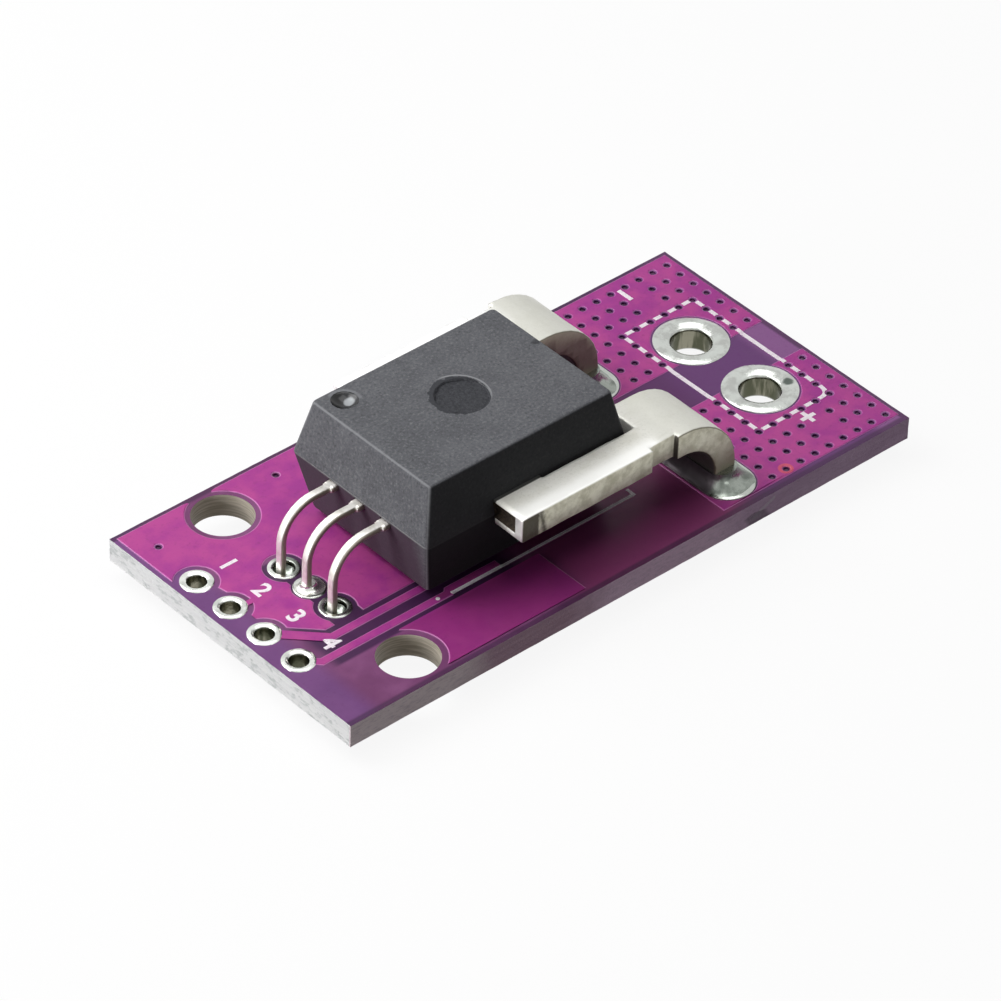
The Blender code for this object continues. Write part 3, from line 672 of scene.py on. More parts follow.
def row_tree(material):
    """Repeats one plated hole along a row, each turned its own way so that no two look the same."""
    sizes = {"Count": "Int", "First": "Vector", "Pitch": "Vector", "Seed": "Int"}
    tree, given = plain_tree("plated_row", sizes)
    sockets = {"Count": given["Count"], "Start Location": given["First"], "Offset": given["Pitch"]}
    line = tree_node(tree, "GeometryNodeMeshLine", sockets, mode="OFFSET")
    return scatter(tree, line, given["Geometry"], 0.0, given["Seed"], material)


def tin_pattern(place, facing):
    """Hot tin: bright with ripples and frost, cloudy at the terminals, with painted shade in the
    barrels, under the conductor's bends and on the moulding side of the signal pads.
    """
    x, y, z = axes_of(place)
    ripple = grain(place, 1.1, 3.0)
    frost = grain(place, 9.0, 3.0, 0.7)
    pit = (x - 15.6) ** 2.0 + (y + 3.1) ** 2.0 + grain(place, 5.0) * 0.08
    cloudy = coats(
        mottle(grain(place, 1.6, 4.0, 0.6), 0.38, 0.62, (200, 204, 199), (180, 182, 178)),
        (fade(pit, 0.07, 0.16, 0.9), 74, 84, 78),
    )
    colour = coats(
        mottle(ripple, 0.35, 0.7, (240, 243, 238), (204, 208, 202)),
        (ease(grain(place, 0.5, 2.0), 0.5, 0.7, 0.0, 0.5), 176, 172, 170),
        (near(x, 7.6, 2.0, 2.3, 0.8), 166, 171, 165),
    )
    # The signal pads' +X halves are darker: painted shade and dark reflection of the moulding.
    shaded = ease(x + grain(place, 2.0) * 0.4, -13.35, -12.85, 0.1, 0.85)
    # Painted shade on the pad under the conductor's bend.
    shade_under_bend = near(x, 6.3, 0.75, 1.1, 0.9) * fade(abs(y), 6.9, 7.2)
    colour = coats(
        blend(ease(x, 10.5, 11.5), colour, cloudy),
        (near(x, -13.25, 0.95, 1.1) * shaded, 104, 108, 102),
        (shade_under_bend, 74, 66, 72),
    )
    # Inside the barrels the tin is painted darker, olive and streaked: painted shade in the holes.
    streak = grain(stretch(place, 2.0, 2.0, 0.4), 1.0, 3.0)
    barrel_shade = mottle(streak, 0.42, 0.6, (84, 86, 70), (140, 138, 122))
    colour = blend(near(z, MIDDLE, 0.5, 0.68), colour, barrel_shade)
    rough = ease(frost, 0.3, 0.7, 0.12, 0.26) + shade_under_bend * 0.3
    return colour, rough, relief(ripple + frost * 0.12, 0.03)


tin_finish = surface("hot_tin", tin_pattern, Metallic=1.0)
plated_row = row_tree(tin_finish)
ROWS = [
    ("header_holes", HEADER_HOLES, HEADER_HOLE, HEADER_PAD, 0.08, 0.03, "header_plating_"),
    ("signal_holes", SIGNAL_HOLES, SIGNAL_HOLE, SIGNAL_PAD, 0.06, 0.0, "signal_plating_"),
    ("terminal_holes", TERMINAL_HOLES, TERMINAL_HOLE, TERMINAL_PAD, 0.2, 0.1, "terminal_plating_"),
]
for seed, (name, places, hole, pad, lip, crown, node) in enumerate(ROWS, start=1):
    section = pad_section(hole / 2, pad / 2, lip, crown)
    one_hole = plain_mesh(name + "_ring", turned_skin((0, 0), section, 48, True, 0.015, 1.6))
    sizes = {
        "Count": len(places),
        "First": (places[0][0] * MM, places[0][1] * MM, 0.0),
        "Pitch": (0.0, (places[1][1] - places[0][1]) * MM, 0.0),
        "Seed": seed,
    }
    holes = grown_piece(name, one_hole, plated_row, sizes, 50)
    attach(holes, "root")
    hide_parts(*[f"{node}{index}" for index in range(1, len(places) + 1)])


# The white printing: epoxy ink screened over the mask. It marks the header holes by number, the
# terminals by sign, and outlines the terminals and the moulding. It is cleared round every via.
INK_THICKNESS, INK_STEP = 0.02, 0.12
LINE, THIN_LINE = 0.24, 0.17
MINUS, PLUS = (14.2, 7.5), (14.45, -5.75)
VIA_CLEARING = 0.27
NUMERAL_LINE, NUMERAL_HEIGHT = -15.2, 1.0
ink_pattern = grained(
    (5.0, 5.0, 5.0), 4.0, 0.7, (0.45, 0.8), (255, 247, 253), (232, 204, 228), (0.5, 0.7), 0.008
)


def stroke(start, end, width=LINE):
    return track([start, end], width)


def printed_outlines():
    """The frame round the terminals, the lines beside the moulding with a dot, and the two signs."""
    low, high, half = PRINT_FRAME
    turn = 0.55
    bend = [(math.sin(a), math.cos(a)) for a in (0, 0.39, 0.79, 1.18, 1.57)]
    return [
        stroke((low, -half - LINE / 2), (low, half + LINE / 2)),
        stroke((low, half), (high + LINE / 2, half)),
        stroke((high, half), (high, turn - half)),
        track([(high - turn + turn * across, turn - half - turn * down) for across, down in bend], LINE),
        stroke((low, -half), (high - turn, -half)),
        stroke((-8.3, -4.7), (3.68, -4.7), THIN_LINE),
        stroke((3.6, -4.7), (3.6, -4.2), THIN_LINE),
        ring((-9.1, -4.62), 0.11, 16),
        stroke((MINUS[0], MINUS[1] - 0.5), (MINUS[0], MINUS[1] + 0.5)),
        stroke((PLUS[0], PLUS[1] - 0.45), (PLUS[0], PLUS[1] + 0.45)),
        stroke((PLUS[0] - 0.45, PLUS[1]), (PLUS[0] + 0.45, PLUS[1])),
    ]


def numeral(text, centre, height):
    """A printed numeral as a flat mesh, upright towards the moulding."""
    letter = bpy.data.curves.new("numeral", "FONT")
    letter.body = text
    letter.size = height * 1.37
    letter.offset = 0.035
    letter.align_x, letter.align_y = "CENTER", "CENTER"
    mesh = settled_mesh(add_object("numeral", letter))
    mesh.transform(Matrix.Translation((*centre, 0)) @ Matrix.Rotation(math.radians(-90), 4, "Z"))
    return mesh


def flat_ink():
    """Every printed mark as one flat mesh in millimetres."""
    bm = bmesh.new()
    art = marked("ink", printed_outlines())
    art += marked("via", [ring(place, VIA_CLEARING, 16) for place in VIA_PLACES])
    for corners, kinds in cut_sheet(bm, art, 1.0, 0.0):
        if kinds == {"ink"}:
            bm.faces.new(corners)
    for text, (_, y) in zip("1234", HEADER_HOLES):
        bm.from_mesh(numeral(text, (NUMERAL_LINE, y), NUMERAL_HEIGHT))
    bmesh.ops.delete(bm, geom=[vert for vert in bm.verts if not vert.link_faces], context="VERTS")
    return bm


def slice_skin(bm, axis, low, high, step, unit=MM):
    """Adds edge loops at even steps along one axis."""
    normal = Vector([1.0 if index == axis else 0.0 for index in range(3)])
    for index in range(int((high - low) / step) + 1):
        parts = bm.verts[:] + bm.edges[:] + bm.faces[:]
        place = normal * (low + index * step) * unit
        bmesh.ops.bisect_plane(bm, geom=parts, plane_co=place, plane_no=normal)


def drape_ink():
    """Cuts the ink finely, drops it on the board, and gives it its thickness."""
    bm = flat_ink()
    for axis in (0, 1):
        reach = [vert.co[axis] for vert in bm.verts]
        slice_skin(bm, axis, min(reach) + INK_STEP, max(reach) - INK_STEP, INK_STEP, 1.0)
    bmesh.ops.remove_doubles(bm, verts=bm.verts, dist=1e-4)
    bed = BVHTree.FromObject(board, bpy.context.evaluated_depsgraph_get())
    for face in bm.faces:
        if face.normal.z < 0:
            face.normal_flip()
    for vert in bm.verts:
        x, y = vert.co.x * MM, vert.co.y * MM
        hit = bed.ray_cast(Vector((x, y, BOARD_TOP + MM)), Vector((0, 0, -1)))[0]
        vert.co = Vector((x, y, max(hit.z, BOARD_TOP) + INK_THICKNESS * MM))
    lifted = bmesh.ops.extrude_face_region(bm, geom=bm.faces[:])["geom"]
    for vert in set(bm.verts) - set(lifted):
        vert.co.z -= INK_THICKNESS * 1.2 * MM
    bmesh.ops.recalc_face_normals(bm, faces=bm.faces)
    return bm


ink = new_piece("white_printing", drape_ink(), surface("white_ink", ink_pattern), crease=40)
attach(ink, "root")


# The gapped flux core and the die in its gap: both are cast inside the moulding. The core is
# pressed soft steel, and the die is a chip of dark polished silicon.
core_pattern = grained(
    (3.0, 3.0, 3.0), 4.0, 0.55, (0.3, 0.7), (120, 120, 124), (92, 92, 98), (0.4, 0.55), 0.02
)
silicon_pattern = grained(
    (6.0, 6.0, 1.0), 2.0, 0.55, (0.4, 0.6), (70, 74, 92), (96, 98, 112), (0.15, 0.3)
)


def repaint(node, material):
    """Gives a CAD node that stays as it is its better material."""
    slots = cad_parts[node].material_slots
    for slot in slots:
        slot.material = material
    if not slots:
        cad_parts[node].data.materials.append(material)


repaint("flux_core", surface("pressed_core_steel", core_pattern, Metallic=1.0))
repaint("hall_die", surface("polished_silicon", silicon_pattern, Metallic=0.8))


# The primary conductor: one stamped strip of copper, bent and tin plated. Its flat faces keep the
# pale plating, its sheared sides are darker and streaked, and its free ends are torn off.
BAR_OUTER = 6.9
TEAR_SIDES, TEAR_LEVELS, TEAR_LIP, TEAR_DEPTH = (4.6, 6.45), (5.93, 6.84), 0.03, 0.35
# The torn faces are painted dark brown: bare copper, with painted shade in their hollow.
tear_pattern = grained(
    (4.0, 4.0, 4.0), 5.0, 0.7, (0.35, 0.65), (74, 62, 50), (44, 36, 32), (0.5, 0.7), 0.05
)


def merged_skin(node):
    """A CAD node's loose triangles joined into one skin, with its flat faces made whole."""
    bm = bmesh.new()
    bm.from_mesh(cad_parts[node].data)
    bmesh.ops.remove_doubles(bm, verts=bm.verts, dist=2e-7)
    bmesh.ops.dissolve_limit(bm, angle_limit=math.radians(1.0), verts=bm.verts, edges=bm.edges)
    return bm


def tear_bar_ends(bm, end_x):
    """Sinks the torn part of each bar's free end and leaves its lower and outer rim standing."""

    def end_faces():
        facing = [face for face in bm.faces if face.normal.x < -0.9]
        return [face for face in facing if abs(face.calc_center_median().x - end_x) < 2e-5]

    cuts = [((0, y, 0), (0, 1, 0)) for y in (-TEAR_SIDES[1], -TEAR_SIDES[0], *TEAR_SIDES)]
    cuts += [((0, 0, z), (0, 0, 1)) for z in TEAR_LEVELS]
    for point, normal in cuts:
        ends = end_faces()
        rims = {part for face in ends for part in (*face.edges, *face.verts)}
        parts = ends + list(rims)
        bmesh.ops.bisect_plane(bm, geom=parts, plane_co=Vector(point) * MM, plane_no=Vector(normal))
    for side in (-1, 1):
        torn = []
        for face in end_faces():
            middle = face.calc_center_median() / MM
            level = TEAR_LEVELS[0] < middle.z < TEAR_LEVELS[1]
            if level and TEAR_SIDES[0] < side * middle.y < TEAR_SIDES[1]:
                torn.append(face)
        for face in torn + inset(bm, torn, TEAR_LIP, -TEAR_DEPTH):
            face.material_index = 1


def worked(bm, node, step, cuts, *drift):
    """Cuts the skin finely along some axes, unsettles it, and holds it in the node's own box."""
    for axis, low, high in cuts:
        slice_skin(bm, axis, low, high, step)
    bmesh.ops.remove_doubles(bm, verts=bm.verts, dist=2e-6)
    unsettle(bm, *drift)
    low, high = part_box(node)
    for vert in bm.verts:
        for axis in range(3):
            vert.co[axis] = min(max(vert.co[axis], low[axis]), high[axis])
    return bm


def conductor_skin():
    bm = merged_skin("primary_conductor")
    bm.normal_update()
    tear_bar_ends(bm, min(vert.co.x for vert in bm.verts if abs(vert.co.y) > BAR_OUTER * MM))
    cuts = [(0, -5.5, 8.1), (1, -6.8, 6.8), (2, 0.4, 5.9)]
    return worked(bm, "primary_conductor", 0.4, cuts, 0.022, 0.75, 2)


def conductor_pattern(place, facing):
    """Plating on the flat faces, bare copper on the sides, a dark line along the arris, and painted
    light and shade on both.
    """
    x, y, z = axes_of(place)
    front, side, up = axes_of(facing)
    side = abs(side)
    clouds = grain(place, 0.8, 4.0, 0.6)
    rubbed = grain(stretch(place, 0.7, 4.0, 4.0), 1.0, 4.0, 0.65)
    frost = grain(place, 8.0, 3.0, 0.7)
    # Painted light: the bars' outer halves are whiter.
    lit_outer_half = ease(abs(y) + clouds * 0.5, 5.9, 6.8) * fade(x, 2.8, 3.6)
    # Painted light: the far bar is nearly white.
    lit_far_bar = ease(y, 4.8, 5.2) * fade(x, 3.4, 4.6)
    # Painted shade along the near bar's outer top edge.
    rim = fade(y, -6.95, -6.88, 0.5) * ease(x, 3.9, 4.3, 0.5, 1.0)
    # Painted shade on the faces turned downwards and inside the bends.
    inside_bend = fade(front, -0.6, -0.2) * fade(z, 5.1, 5.5)
    shade_underneath = up.sum("MAXIMUM", fade(up, -0.7, -0.2), inside_bend)
    plated = coats(
        mottle(clouds, 0.4, 0.75, (232, 231, 224), (216, 215, 205)),
        (ease(rubbed, 0.55, 0.8, 0.0, 0.45), 196, 193, 180),
        (ease(frost, 0.5, 0.75, 0.0, 0.3), 180, 180, 172),
        (ease(x, 2.8, 4.2, 0.0, 0.7), 210, 210, 201),
        (lit_outer_half * 0.9, 255, 255, 252),
        (lit_far_bar, 255, 255, 253),
        (rim, 120, 118, 104),
        (shade_underneath * 0.92, 52, 44, 42),
    )
    nick = abs(x + 4.6 + (z - 6.2) * 0.2) + grain(place, 3.0, 4.0) * 0.5
    sheared = coats(
        mottle(grain(place, 1.3, 5.0, 0.65), 0.35, 0.65, (216, 213, 196), (180, 176, 156)),
        # Painted shade: the sides darken towards the board, and the far side is darker brown in the
        # moulding's shade.
        (fade(z, 3.4, 5.8, 0.9), 128, 120, 104),
        (ease(y, -1.0, 1.0, 0.0, 0.8), 124, 108, 98),
        (fade(x + grain(place, 3.0) * 0.2, -4.85, -4.7, 0.97), 58, 52, 40),
        (fade(nick, 0.25, 0.5, 0.85), 58, 52, 42),
    )
    arris = ease(side, 0.4, 0.52) * fade(side, 0.76, 0.88) * ease(x, 4.0, 4.3, 0.0, 0.7)
    # Painted shade on the near step before the bend.
    shoulder = ease(abs(front), 0.5, 0.8) * near(x, 4.2, 0.1, 0.2, 0.95) * fade(y, -6.62, -6.5)
    # Painted shade where the bars meet the moulding.
    by_moulding = fade(abs(y), 4.98, 5.05, 0.95) * fade(x, 2.6, 2.9)
    colour = coats(
        blend(ease(side, 0.45, 0.8), plated, sheared),
        (arris, 88, 82, 62),
        (shoulder, 50, 44, 34),
        (by_moulding, 24, 24, 25),
    )
    height = clouds + rubbed * 0.3 + frost * 0.08
    return colour, ease(frost, 0.3, 0.7, 0.45, 0.6), relief(height, 0.015)


conductor = new_piece(
    "stamped_conductor",
    conductor_skin(),
    surface("tin_plated_copper", conductor_pattern, Metallic=0.5),
    surface("torn_copper", tear_pattern, Metallic=0.5),
    crease=50,
)
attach(conductor, "root")
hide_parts("primary_conductor")


# The three signal leads: stamped from thin strip, bent down into the board and tinned bright. Each
# has a wider shoulder where it leaves the moulding.
LEAD_ROUNDING = 0.13


def lead_pattern(place, facing):
    _, side, _ = axes_of(facing)
    clouds = grain(place, 1.8, 3.0)
    colour = coats(
        mottle(clouds, 0.4, 0.75, (255, 252, 246), (232, 228, 218)),
        (ease(abs(side), 0.55, 0.85), 160, 154, 138),
    )
    return colour, ease(grain(place, 10.0, 2.0), 0.3, 0.7, 0.3, 0.42), relief(clouds, 0.008)


def lead_skin(node, seed):
    bm = merged_skin(node)
    joined = [edge for edge in bm.edges if len(edge.link_faces) == 2]
    corners = [edge for edge in joined if edge.calc_face_angle() > math.radians(60)]
    rounding = {"offset": LEAD_ROUNDING * MM, "segments": 4, "profile": 0.5, "affect": "EDGES"}
    bmesh.ops.bevel(bm, geom=corners, **rounding)
    return worked(bm, node, 0.3, [(0, -13.4, -10.4), (2, 0.3, 5.9)], 0.008, 1.1, seed)


bright_lead = surface("bright_tinned_lead", lead_pattern, Metallic=0.55)
for number in (1, 2, 3):
    node = f"signal_lead_{number}"
    lead = new_piece(f"bent_lead_{number}", lead_skin(node, number), bright_lead, crease=50)
    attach(lead, "root")
    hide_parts(node)


# The moulding: black epoxy pressed round the core, the die and the conductor. It is matt, with a line of
# flash where the mould halves met, painted pale as a highlight, a rough ejector recess and a polished
# pin 1 dimple.
body_low, body_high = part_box("sensor_body")
BODY_TOP = body_high.z / MM
BODY_MIDDLE_X = (body_low.x + body_high.x) / 2 / MM
EJECTOR_RADIUS, EJECTOR_JAGS = 1.4, 0.1
DIMPLE_CENTRE, DIMPLE_RADIUS, DIMPLE_DEPTH = (-8.293, 3.343), 0.7, 0.3
PARTING = 6.16
recess_pattern = grained(
    (6.0, 6.0, 6.0), 4.0, 0.75, (0.35, 0.65), (56, 57, 61), (78, 79, 83), (0.6, 0.8), 0.05
)


def moulding_pattern(place, facing):
    """Dusty pored epoxy with a stain round the recess, painted highlights on its rims, parting line and
    edges towards the lamp, painted shade on its near side and a painted board reflection low on its
    left.
    """
    x, y, z = axes_of(place)
    front, side, _ = axes_of(facing)
    dust = grain(place, 0.6, 4.0, 0.6)
    pores = grain(place, 6.5, 3.0, 0.75)
    off_centre = x - BODY_MIDDLE_X
    on_top = ease(z, BODY_TOP - 0.2, BODY_TOP - 0.1)
    from_recess = (off_centre + 0.1) ** 2.0 + (y - 0.14) ** 2.0
    stain = fade(from_recess + grain(place, 3.2, 4.0) * 1.3, 2.75, 2.95, 0.9) * on_top
    lit_rim = near(from_recess, 2.5, 0.06, 0.24, 0.8) * ease(off_centre + y * 0.4, 0.3, 1.1) * on_top
    from_dimple = ((x - DIMPLE_CENTRE[0]) ** 2.0 + (y - DIMPLE_CENTRE[1]) ** 2.0) ** 0.5
    # Painted highlight on the dimple's far rim.
    far_side = ease(x + y - sum(DIMPLE_CENTRE), 0.1, 0.5) * on_top
    # Painted highlight on the edges that face the lamp.
    edge_highlight = fade(front, -0.55, -0.35) * ease(front, -0.92, -0.8, 0.0, 0.55)
    # The flash line along the parting is painted pale: a painted highlight of the flash ridge.
    flash = fade(abs(z - PARTING) + grain(place, 3.0) * 0.08, 0.05, 0.1, 0.5)
    smudge = (x - 1.9) ** 2.0 * 5.0 + (y - 0.9) ** 2.0 * 9.0 + grain(place, 5.0, 3.0)
    parting = (PARTING - 0.15, PARTING + 0.1)
    # Below the parting line the left faces get painted shade and a painted reflection of the purple
    # board.
    board_reflection_low = fade(z, *parting, 0.9) * fade(front, -0.9, -0.6)
    colour = coats(
        mottle(dust, 0.3, 0.7, (97, 98, 102), (110, 111, 115)),
        (fade(pores, 0.25, 0.5, 0.8), 74, 75, 78),
        (ease(pores, 0.5, 0.75, 0.0, 0.8), 136, 137, 140),
        (stain, 62, 63, 67),
        (lit_rim, 160, 161, 164),
        (near(from_dimple, 0.79, 0.04, 0.13, 0.6) * far_side, 142, 143, 147),
        (edge_highlight, 150, 151, 154),
        (flash, 150, 150, 150),
        (fade(smudge, 0.6, 1.1, 0.7), 52, 53, 56),
        (board_reflection_low * ease(y + dust, -4.2, -3.2, 0.2, 1.0), 78, 65, 76),
    )
    # Painted shade: the near side is nearly black, most of all below the parting line.
    near_side_shade = fade(side, -0.9, -0.5) * ease(z, *parting, 0.97, 0.85)
    colour = blend(near_side_shade, colour, mottle(z, *parting, (16, 14, 16), (32, 32, 33)))
    return colour, ease(dust, 0.3, 0.7, 0.6, 0.72), relief(pores + dust * 0.8, 0.015)


def dimple_pattern(place, facing):
    """Polished: nearly black on the left from painted shade, with one bright spot beyond the middle as a
    painted highlight.
    """
    x, y, _ = axes_of(place)
    x, y = x - DIMPLE_CENTRE[0], y - DIMPLE_CENTRE[1]
    rightward, away = x * 0.75 - y * 0.66, x * 0.66 + y * 0.75
    polish = grain(place, 6.0, 3.0, 0.7)
    lit_spot = (rightward - 0.22) ** 2.0 + (away - 0.17) ** 2.0 + grain(place, 4.0, 3.0) * 0.05
    colour = coats(
        mottle(polish, 0.3, 0.7, (30, 31, 34), (48, 49, 52)),
        # Painted shade on the left and a painted highlight beyond the middle.
        (fade(rightward, -0.3, 0.0, 0.95), 6, 6, 8),
        (fade(lit_spot, 0.055, 0.125, 0.88), 180, 184, 188),
    )
    return colour, ease(polish, 0.3, 0.7, 0.14, 0.22)


def resink(bm, centre, radius, rings, material, jags=0.0):
    """Takes out a round recess and sinks it anew, by rings of (share of radius, depth)."""

    def outward(point):
        return Vector((point.x / MM - centre[0], point.y / MM - centre[1]))

    doomed = []
    for face in bm.faces:
        middle = face.calc_center_median()
        inside = outward(middle).length < radius * 0.985 and middle.z / MM > BODY_TOP - 0.35
        if inside and max(outward(vert.co).length for vert in face.verts) < radius * 1.03:
            doomed.append(face)
    bmesh.ops.delete(bm, geom=doomed, context="FACES")
    rim = [edge for edge in bm.edges if len(edge.link_faces) == 1]
    loop = list({vert for edge in rim for vert in edge.verts})
    loop.sort(key=lambda vert: math.atan2(vert.co.y / MM - centre[1], vert.co.x / MM - centre[0]))
    chance = random.Random(8)
    wear = [chance.uniform(0, jags) * (chance.random() < 0.7) for _ in loop]
    ways = [outward(vert.co).normalized() for vert in loop]
    for share, depth in rings:
        inner = []
        for way, loss in zip(ways, wear):
            x, y = (centre[axis] + way[axis] * (radius * share - loss * share) for axis in (0, 1))
            inner.append(bm.verts.new((x * MM, y * MM, (BODY_TOP - depth) * MM)))
        for index in range(len(loop)):
            after = (index + 1) % len(loop)
            face = bm.faces.new((loop[index], loop[after], inner[after], inner[index]))
            face.material_index = material
        loop = inner
    bm.faces.new(loop).material_index = material


def body_skin():
    """The moulding's skin, with the ejector recess ragged and the pin 1 dimple round and polished."""
    bm = merged_skin("sensor_body")
    sphere = (DIMPLE_RADIUS**2 + DIMPLE_DEPTH**2) / (2 * DIMPLE_DEPTH)
    bowl = []
    for share in [1 - step / 9 for step in range(1, 9)]:
        bowl.append((share, DIMPLE_DEPTH - sphere + math.sqrt(sphere**2 - (DIMPLE_RADIUS * share) ** 2)))
    resink(bm, DIMPLE_CENTRE, DIMPLE_RADIUS, bowl, 2)
    ragged = [(0.995, 0.01), (0.975, 0.08), (0.95, 0.12), (0.8, 0.12), (0.4, 0.11)]
    resink(bm, (BODY_MIDDLE_X, 0.0), EJECTOR_RADIUS, ragged, 1, EJECTOR_JAGS)
    bm.normal_update()
    return bm


moulding = new_piece(
    "moulded_body",
    body_skin(),
    surface("black_moulding", moulding_pattern, Specular_IOR_Level=0.08),
    surface("rough_recess", recess_pattern, Specular_IOR_Level=0.1),
    surface("polished_dimple", dimple_pattern, Specular_IOR_Level=0.4),
    crease=28,
)
evened = moulding.modifiers.new("evened", "WEIGHTED_NORMAL")
evened.keep_sharp = True
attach(moulding, "root")
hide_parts("sensor_body")


# The solder: it fills the slots and wets up the current legs in hollow fillets, and it holds the
# signal leads from below, where it ends short of the upper pad except at the middle lead.
LEG_HALF_WIDTH, LEG_HALF_THICKNESS = 2.0, 0.7
PAD_RADIUS, PAD_STRAIGHT, PAD_SHIFT = 1.475, 1.845, 0.275
PAD_RISE, SLOT_PAD_RISE = 0.06, 0.07


def hollow_fillet(rim, neck, start, height, way, steps=10):
    """Rings of a concave fillet, from a pad's rim to the neck round a leg."""
    rings = []
    for part in [step / steps for step in range(steps + 1)]:
        spread = (1 - part) ** 2.1
        radius, straight, shift = (b + (a - b) * spread for a, b in zip(rim, neck))
        rings.append((radius, start + way * height * part**1.7, straight, shift))
    return rings


def current_pad_skin(place):
    """The slotted barrel with its long pads."""
    top, low = TOP + SLOT_PAD_RISE, BOTTOM - SLOT_PAD_RISE
    upper = [
        (SLOT_RADIUS, top - 0.02, SLOT_STRAIGHT, 0.0),
        (SLOT_RADIUS + 0.06, top, SLOT_STRAIGHT, 0.0),
        (PAD_RADIUS - 0.06, top, PAD_STRAIGHT, PAD_SHIFT),
        (PAD_RADIUS, top - 0.05, PAD_STRAIGHT, PAD_SHIFT),
    ]
    lower = [(radius, low + top - height, *rest) for radius, height, *rest in reversed(upper)]
    return turned_skin(place, (upper + lower)[::-1], 64, True)


def current_solder_skin(place, seed):
    top, low = TOP + PAD_RISE, BOTTOM - PAD_RISE
    rim = (PAD_RADIUS - 0.05, PAD_STRAIGHT, PAD_SHIFT)
    neck = (LEG_HALF_THICKNESS + 0.12, LEG_HALF_WIDTH - 0.42, 0.0)
    rings = hollow_fillet(rim, neck, low, 0.68, -1)[::-1]
    rings += [(SLOT_RADIUS - 0.03, height, SLOT_STRAIGHT, 0.0) for height in (low + 0.08, top - 0.08)]
    rings += hollow_fillet(rim, neck, top, 0.92, 1)
    return turned_skin(place, rings, 72, False, 0.11, 0.9, seed)


def signal_solder_skin(place, filled, seed):
    """Solder of a lead. A filled one stands over the upper pad, the others sink into the hole."""
    low = BOTTOM - PAD_RISE
    hole, pad = SIGNAL_HOLE / 2 - 0.02, SIGNAL_PAD / 2
    rings = hollow_fillet((pad - 0.06, 0.0, 0.0), (0.34, 0.0, -0.19), low, 0.53, -1)[::-1]
    rings.append((hole, low + 0.08, 0.0, 0.0))
    if filled:
        rings.append((hole, TOP, 0.0, 0.0))
        rings += hollow_fillet((pad - 0.1, 0.0, 0.0), (0.36, 0.0, -0.12), TOP + 0.09, 0.3, 1)
    else:
        sunk = [(hole, 0.2, 0.0), (hole - 0.12, 0.42, -0.04), (0.3, 0.5, -0.15)]
        rings += [(radius, TOP - depth, 0.0, shift) for radius, depth, shift in sunk]
    return turned_skin(place, rings, 40, False, 0.035, 1.4, seed)


def solder_pattern(place, facing):
    """Lead free solder: bright on the wet slopes, greyer and grained where it froze last, with painted
    shade under the conductor's bends.
    """
    x, y, _ = axes_of(place)
    flow = grain(place, 0.9, 3.0)
    frozen = grain(place, 7.0, 4.0, 0.7)
    # Painted shade on the solder under the conductor's bend.
    shade_under_bend = near(x, 6.3, 0.6, 0.9, 0.9) * fade(abs(y), 6.9, 7.2)
    colour = coats(
        mottle(flow, 0.4, 0.65, (148, 154, 147), (98, 104, 98)),
        (ease(frozen, 0.55, 0.75, 0.0, 0.5), 92, 97, 92),
        (shade_under_bend, 74, 66, 72),
        (near(x, -13.25, 1.0, 1.2) * fade(abs(y), 0.7, 0.9, 0.85), 226, 228, 222),
    )
    rough = ease(flow, 0.35, 0.7, 0.2, 0.36) + shade_under_bend * 0.3
    return colour, rough, relief(flow + frozen * 0.12, 0.05)


solder_finish = surface("frozen_solder", solder_pattern, Metallic=1.0)
for number, place in enumerate(CURRENT_SLOTS, start=1):
    slot_pad = new_piece(f"slot_pad_{number}", current_pad_skin(place), tin_finish, crease=40)
    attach(slot_pad, "root")
    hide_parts(f"current_plating_{number}")
    skin = current_solder_skin(place, number)
    joint = new_piece(f"leg_solder_{number}", skin, solder_finish, crease=60)
    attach(joint, "root")
    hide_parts(f"current_solder_{number}")
for number, place in enumerate(SIGNAL_HOLES, start=1):
    skin = signal_solder_skin(place, number == 2, number + 4)
    joint = new_piece(f"lead_solder_{number}", skin, solder_finish, crease=60)
    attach(joint, "root")
    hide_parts(f"signal_solder_{number}")


# The studio: a pale table under the cut leads, one large soft lamp from the left and behind with
# three weaker ones, and an even white surround that the camera and the metal see.
TABLE_GREY, AMBIENT = 0.09, 0.02


def seen_directly(tree):
    """1 for what the camera sees, also in a mirror or through glass, and 0 for diffuse light."""
    outputs = tree.nodes.new("ShaderNodeLightPath").outputs
    seen = Signal(outputs["Is Camera Ray"])
    for kind in ("Glossy", "Transmission"):
        seen = seen.sum("MAXIMUM", seen, Signal(outputs[f"Is {kind} Ray"]))
    return seen


table_material = bpy.data.materials.new("pale_table")
table_material.use_nodes = True
table_tree = table_material.node_tree
table_tree.nodes.remove(table_tree.nodes["Principled BSDF"])
brightness = seen_directly(table_tree) * (1 - TABLE_GREY)
glow = brightness.node("ShaderNodeEmission", {}, {"Color": (1, 1, 1, 1), "Strength": brightness})
lit = glow.node("ShaderNodeBsdfDiffuse", {}, {"Color": (TABLE_GREY, TABLE_GREY, TABLE_GREY, 1)})
both = glow.node("ShaderNodeAddShader", {}, {0: glow, 1: lit})
table_tree.links.new(both.socket, table_tree.nodes["Material Output"].inputs["Surface"])
table_bm = bmesh.new()
bmesh.ops.create_circle(table_bm, cap_ends=True, radius=2.0, segments=64)
table = new_piece("table", table_bm, table_material)

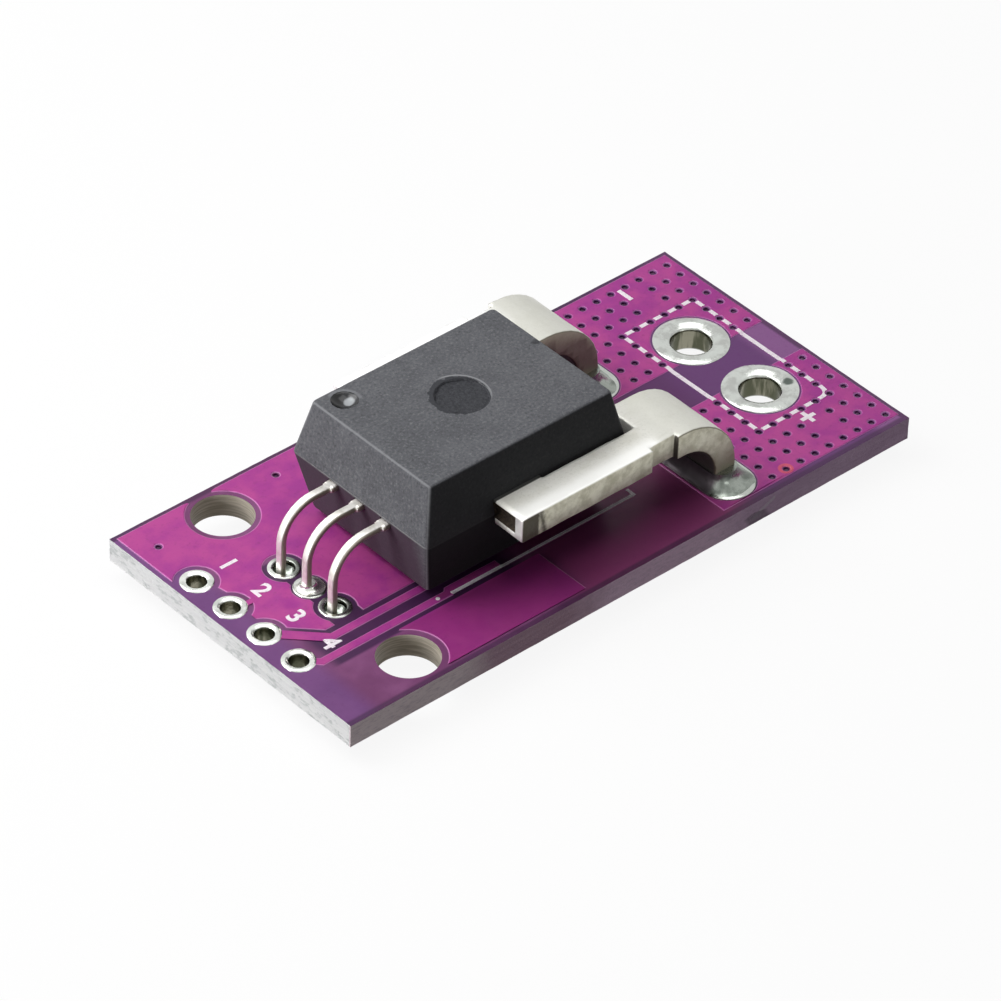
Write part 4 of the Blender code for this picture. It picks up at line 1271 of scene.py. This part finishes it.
world = bpy.data.worlds.new("white_surround")
bpy.context.scene.world = world
world.use_nodes = True
strength = seen_directly(world.node_tree) * (1 - AMBIENT) + AMBIENT
backdrop = world.node_tree.nodes["Background"]
backdrop.inputs["Color"].default_value = (1, 1, 1, 1)
world.node_tree.links.new(strength.socket, backdrop.inputs["Strength"])


def soft_lamp(name, way, distance, size, level):
    """A square lamp that lights a face turned to it to the given level, where 1 is plain white."""
    lamp = bpy.data.lights.new(name, "AREA")
    lamp.size = size
    lamp.energy = level * math.pi**2 * distance**2
    holder = add_object(name, lamp)
    direction = Vector(way).normalized()
    holder.location = direction * distance
    holder.rotation_euler = direction.to_track_quat("Z", "Y").to_euler()


soft_lamp("large_left_lamp", (-0.56, 0.66, 0.98), 0.15, 0.115, 0.8)
soft_lamp("overhead_fill", (0.1, 0.02, 1.0), 0.22, 0.16, 0.3)
soft_lamp("low_left_fill", (-1.0, 0.1, 0.16), 0.2, 0.05, 0.36)
soft_lamp("low_near_fill", (0.1, -1.0, 0.12), 0.2, 0.08, 0.1)


# The camera: a long lens at the photograph's place, solved from the board's corners and holes.
FRAME_PIXELS, FOCAL_PIXELS = 1001, 6298.186
SENSOR = 36.0
DISTANCE, ACROSS, UPWARD = 309.945, -0.725, -1.126
azimuth, elevation, roll = (math.radians(angle) for angle in (-42.866, 38.89, 2.03))
camera_data = bpy.data.cameras.new("camera")
camera = add_object("camera", camera_data)
bpy.context.scene.camera = camera
camera_data.sensor_width = SENSOR
camera_data.lens = FOCAL_PIXELS * SENSOR / FRAME_PIXELS
camera_data.clip_start, camera_data.clip_end = 0.01, 10.0
turn = Matrix.Rotation(azimuth, 4, "Z") @ Matrix.Rotation(math.pi / 2 - elevation, 4, "X")
turn = turn @ Matrix.Rotation(roll, 4, "Z")
stand = turn @ Vector((ACROSS, UPWARD, DISTANCE)) * MM + Vector((0, 0, BOARD_TOP))
camera.matrix_world = Matrix.Translation(stand) @ turn
bpy.context.scene.view_settings.view_transform = "Standard"
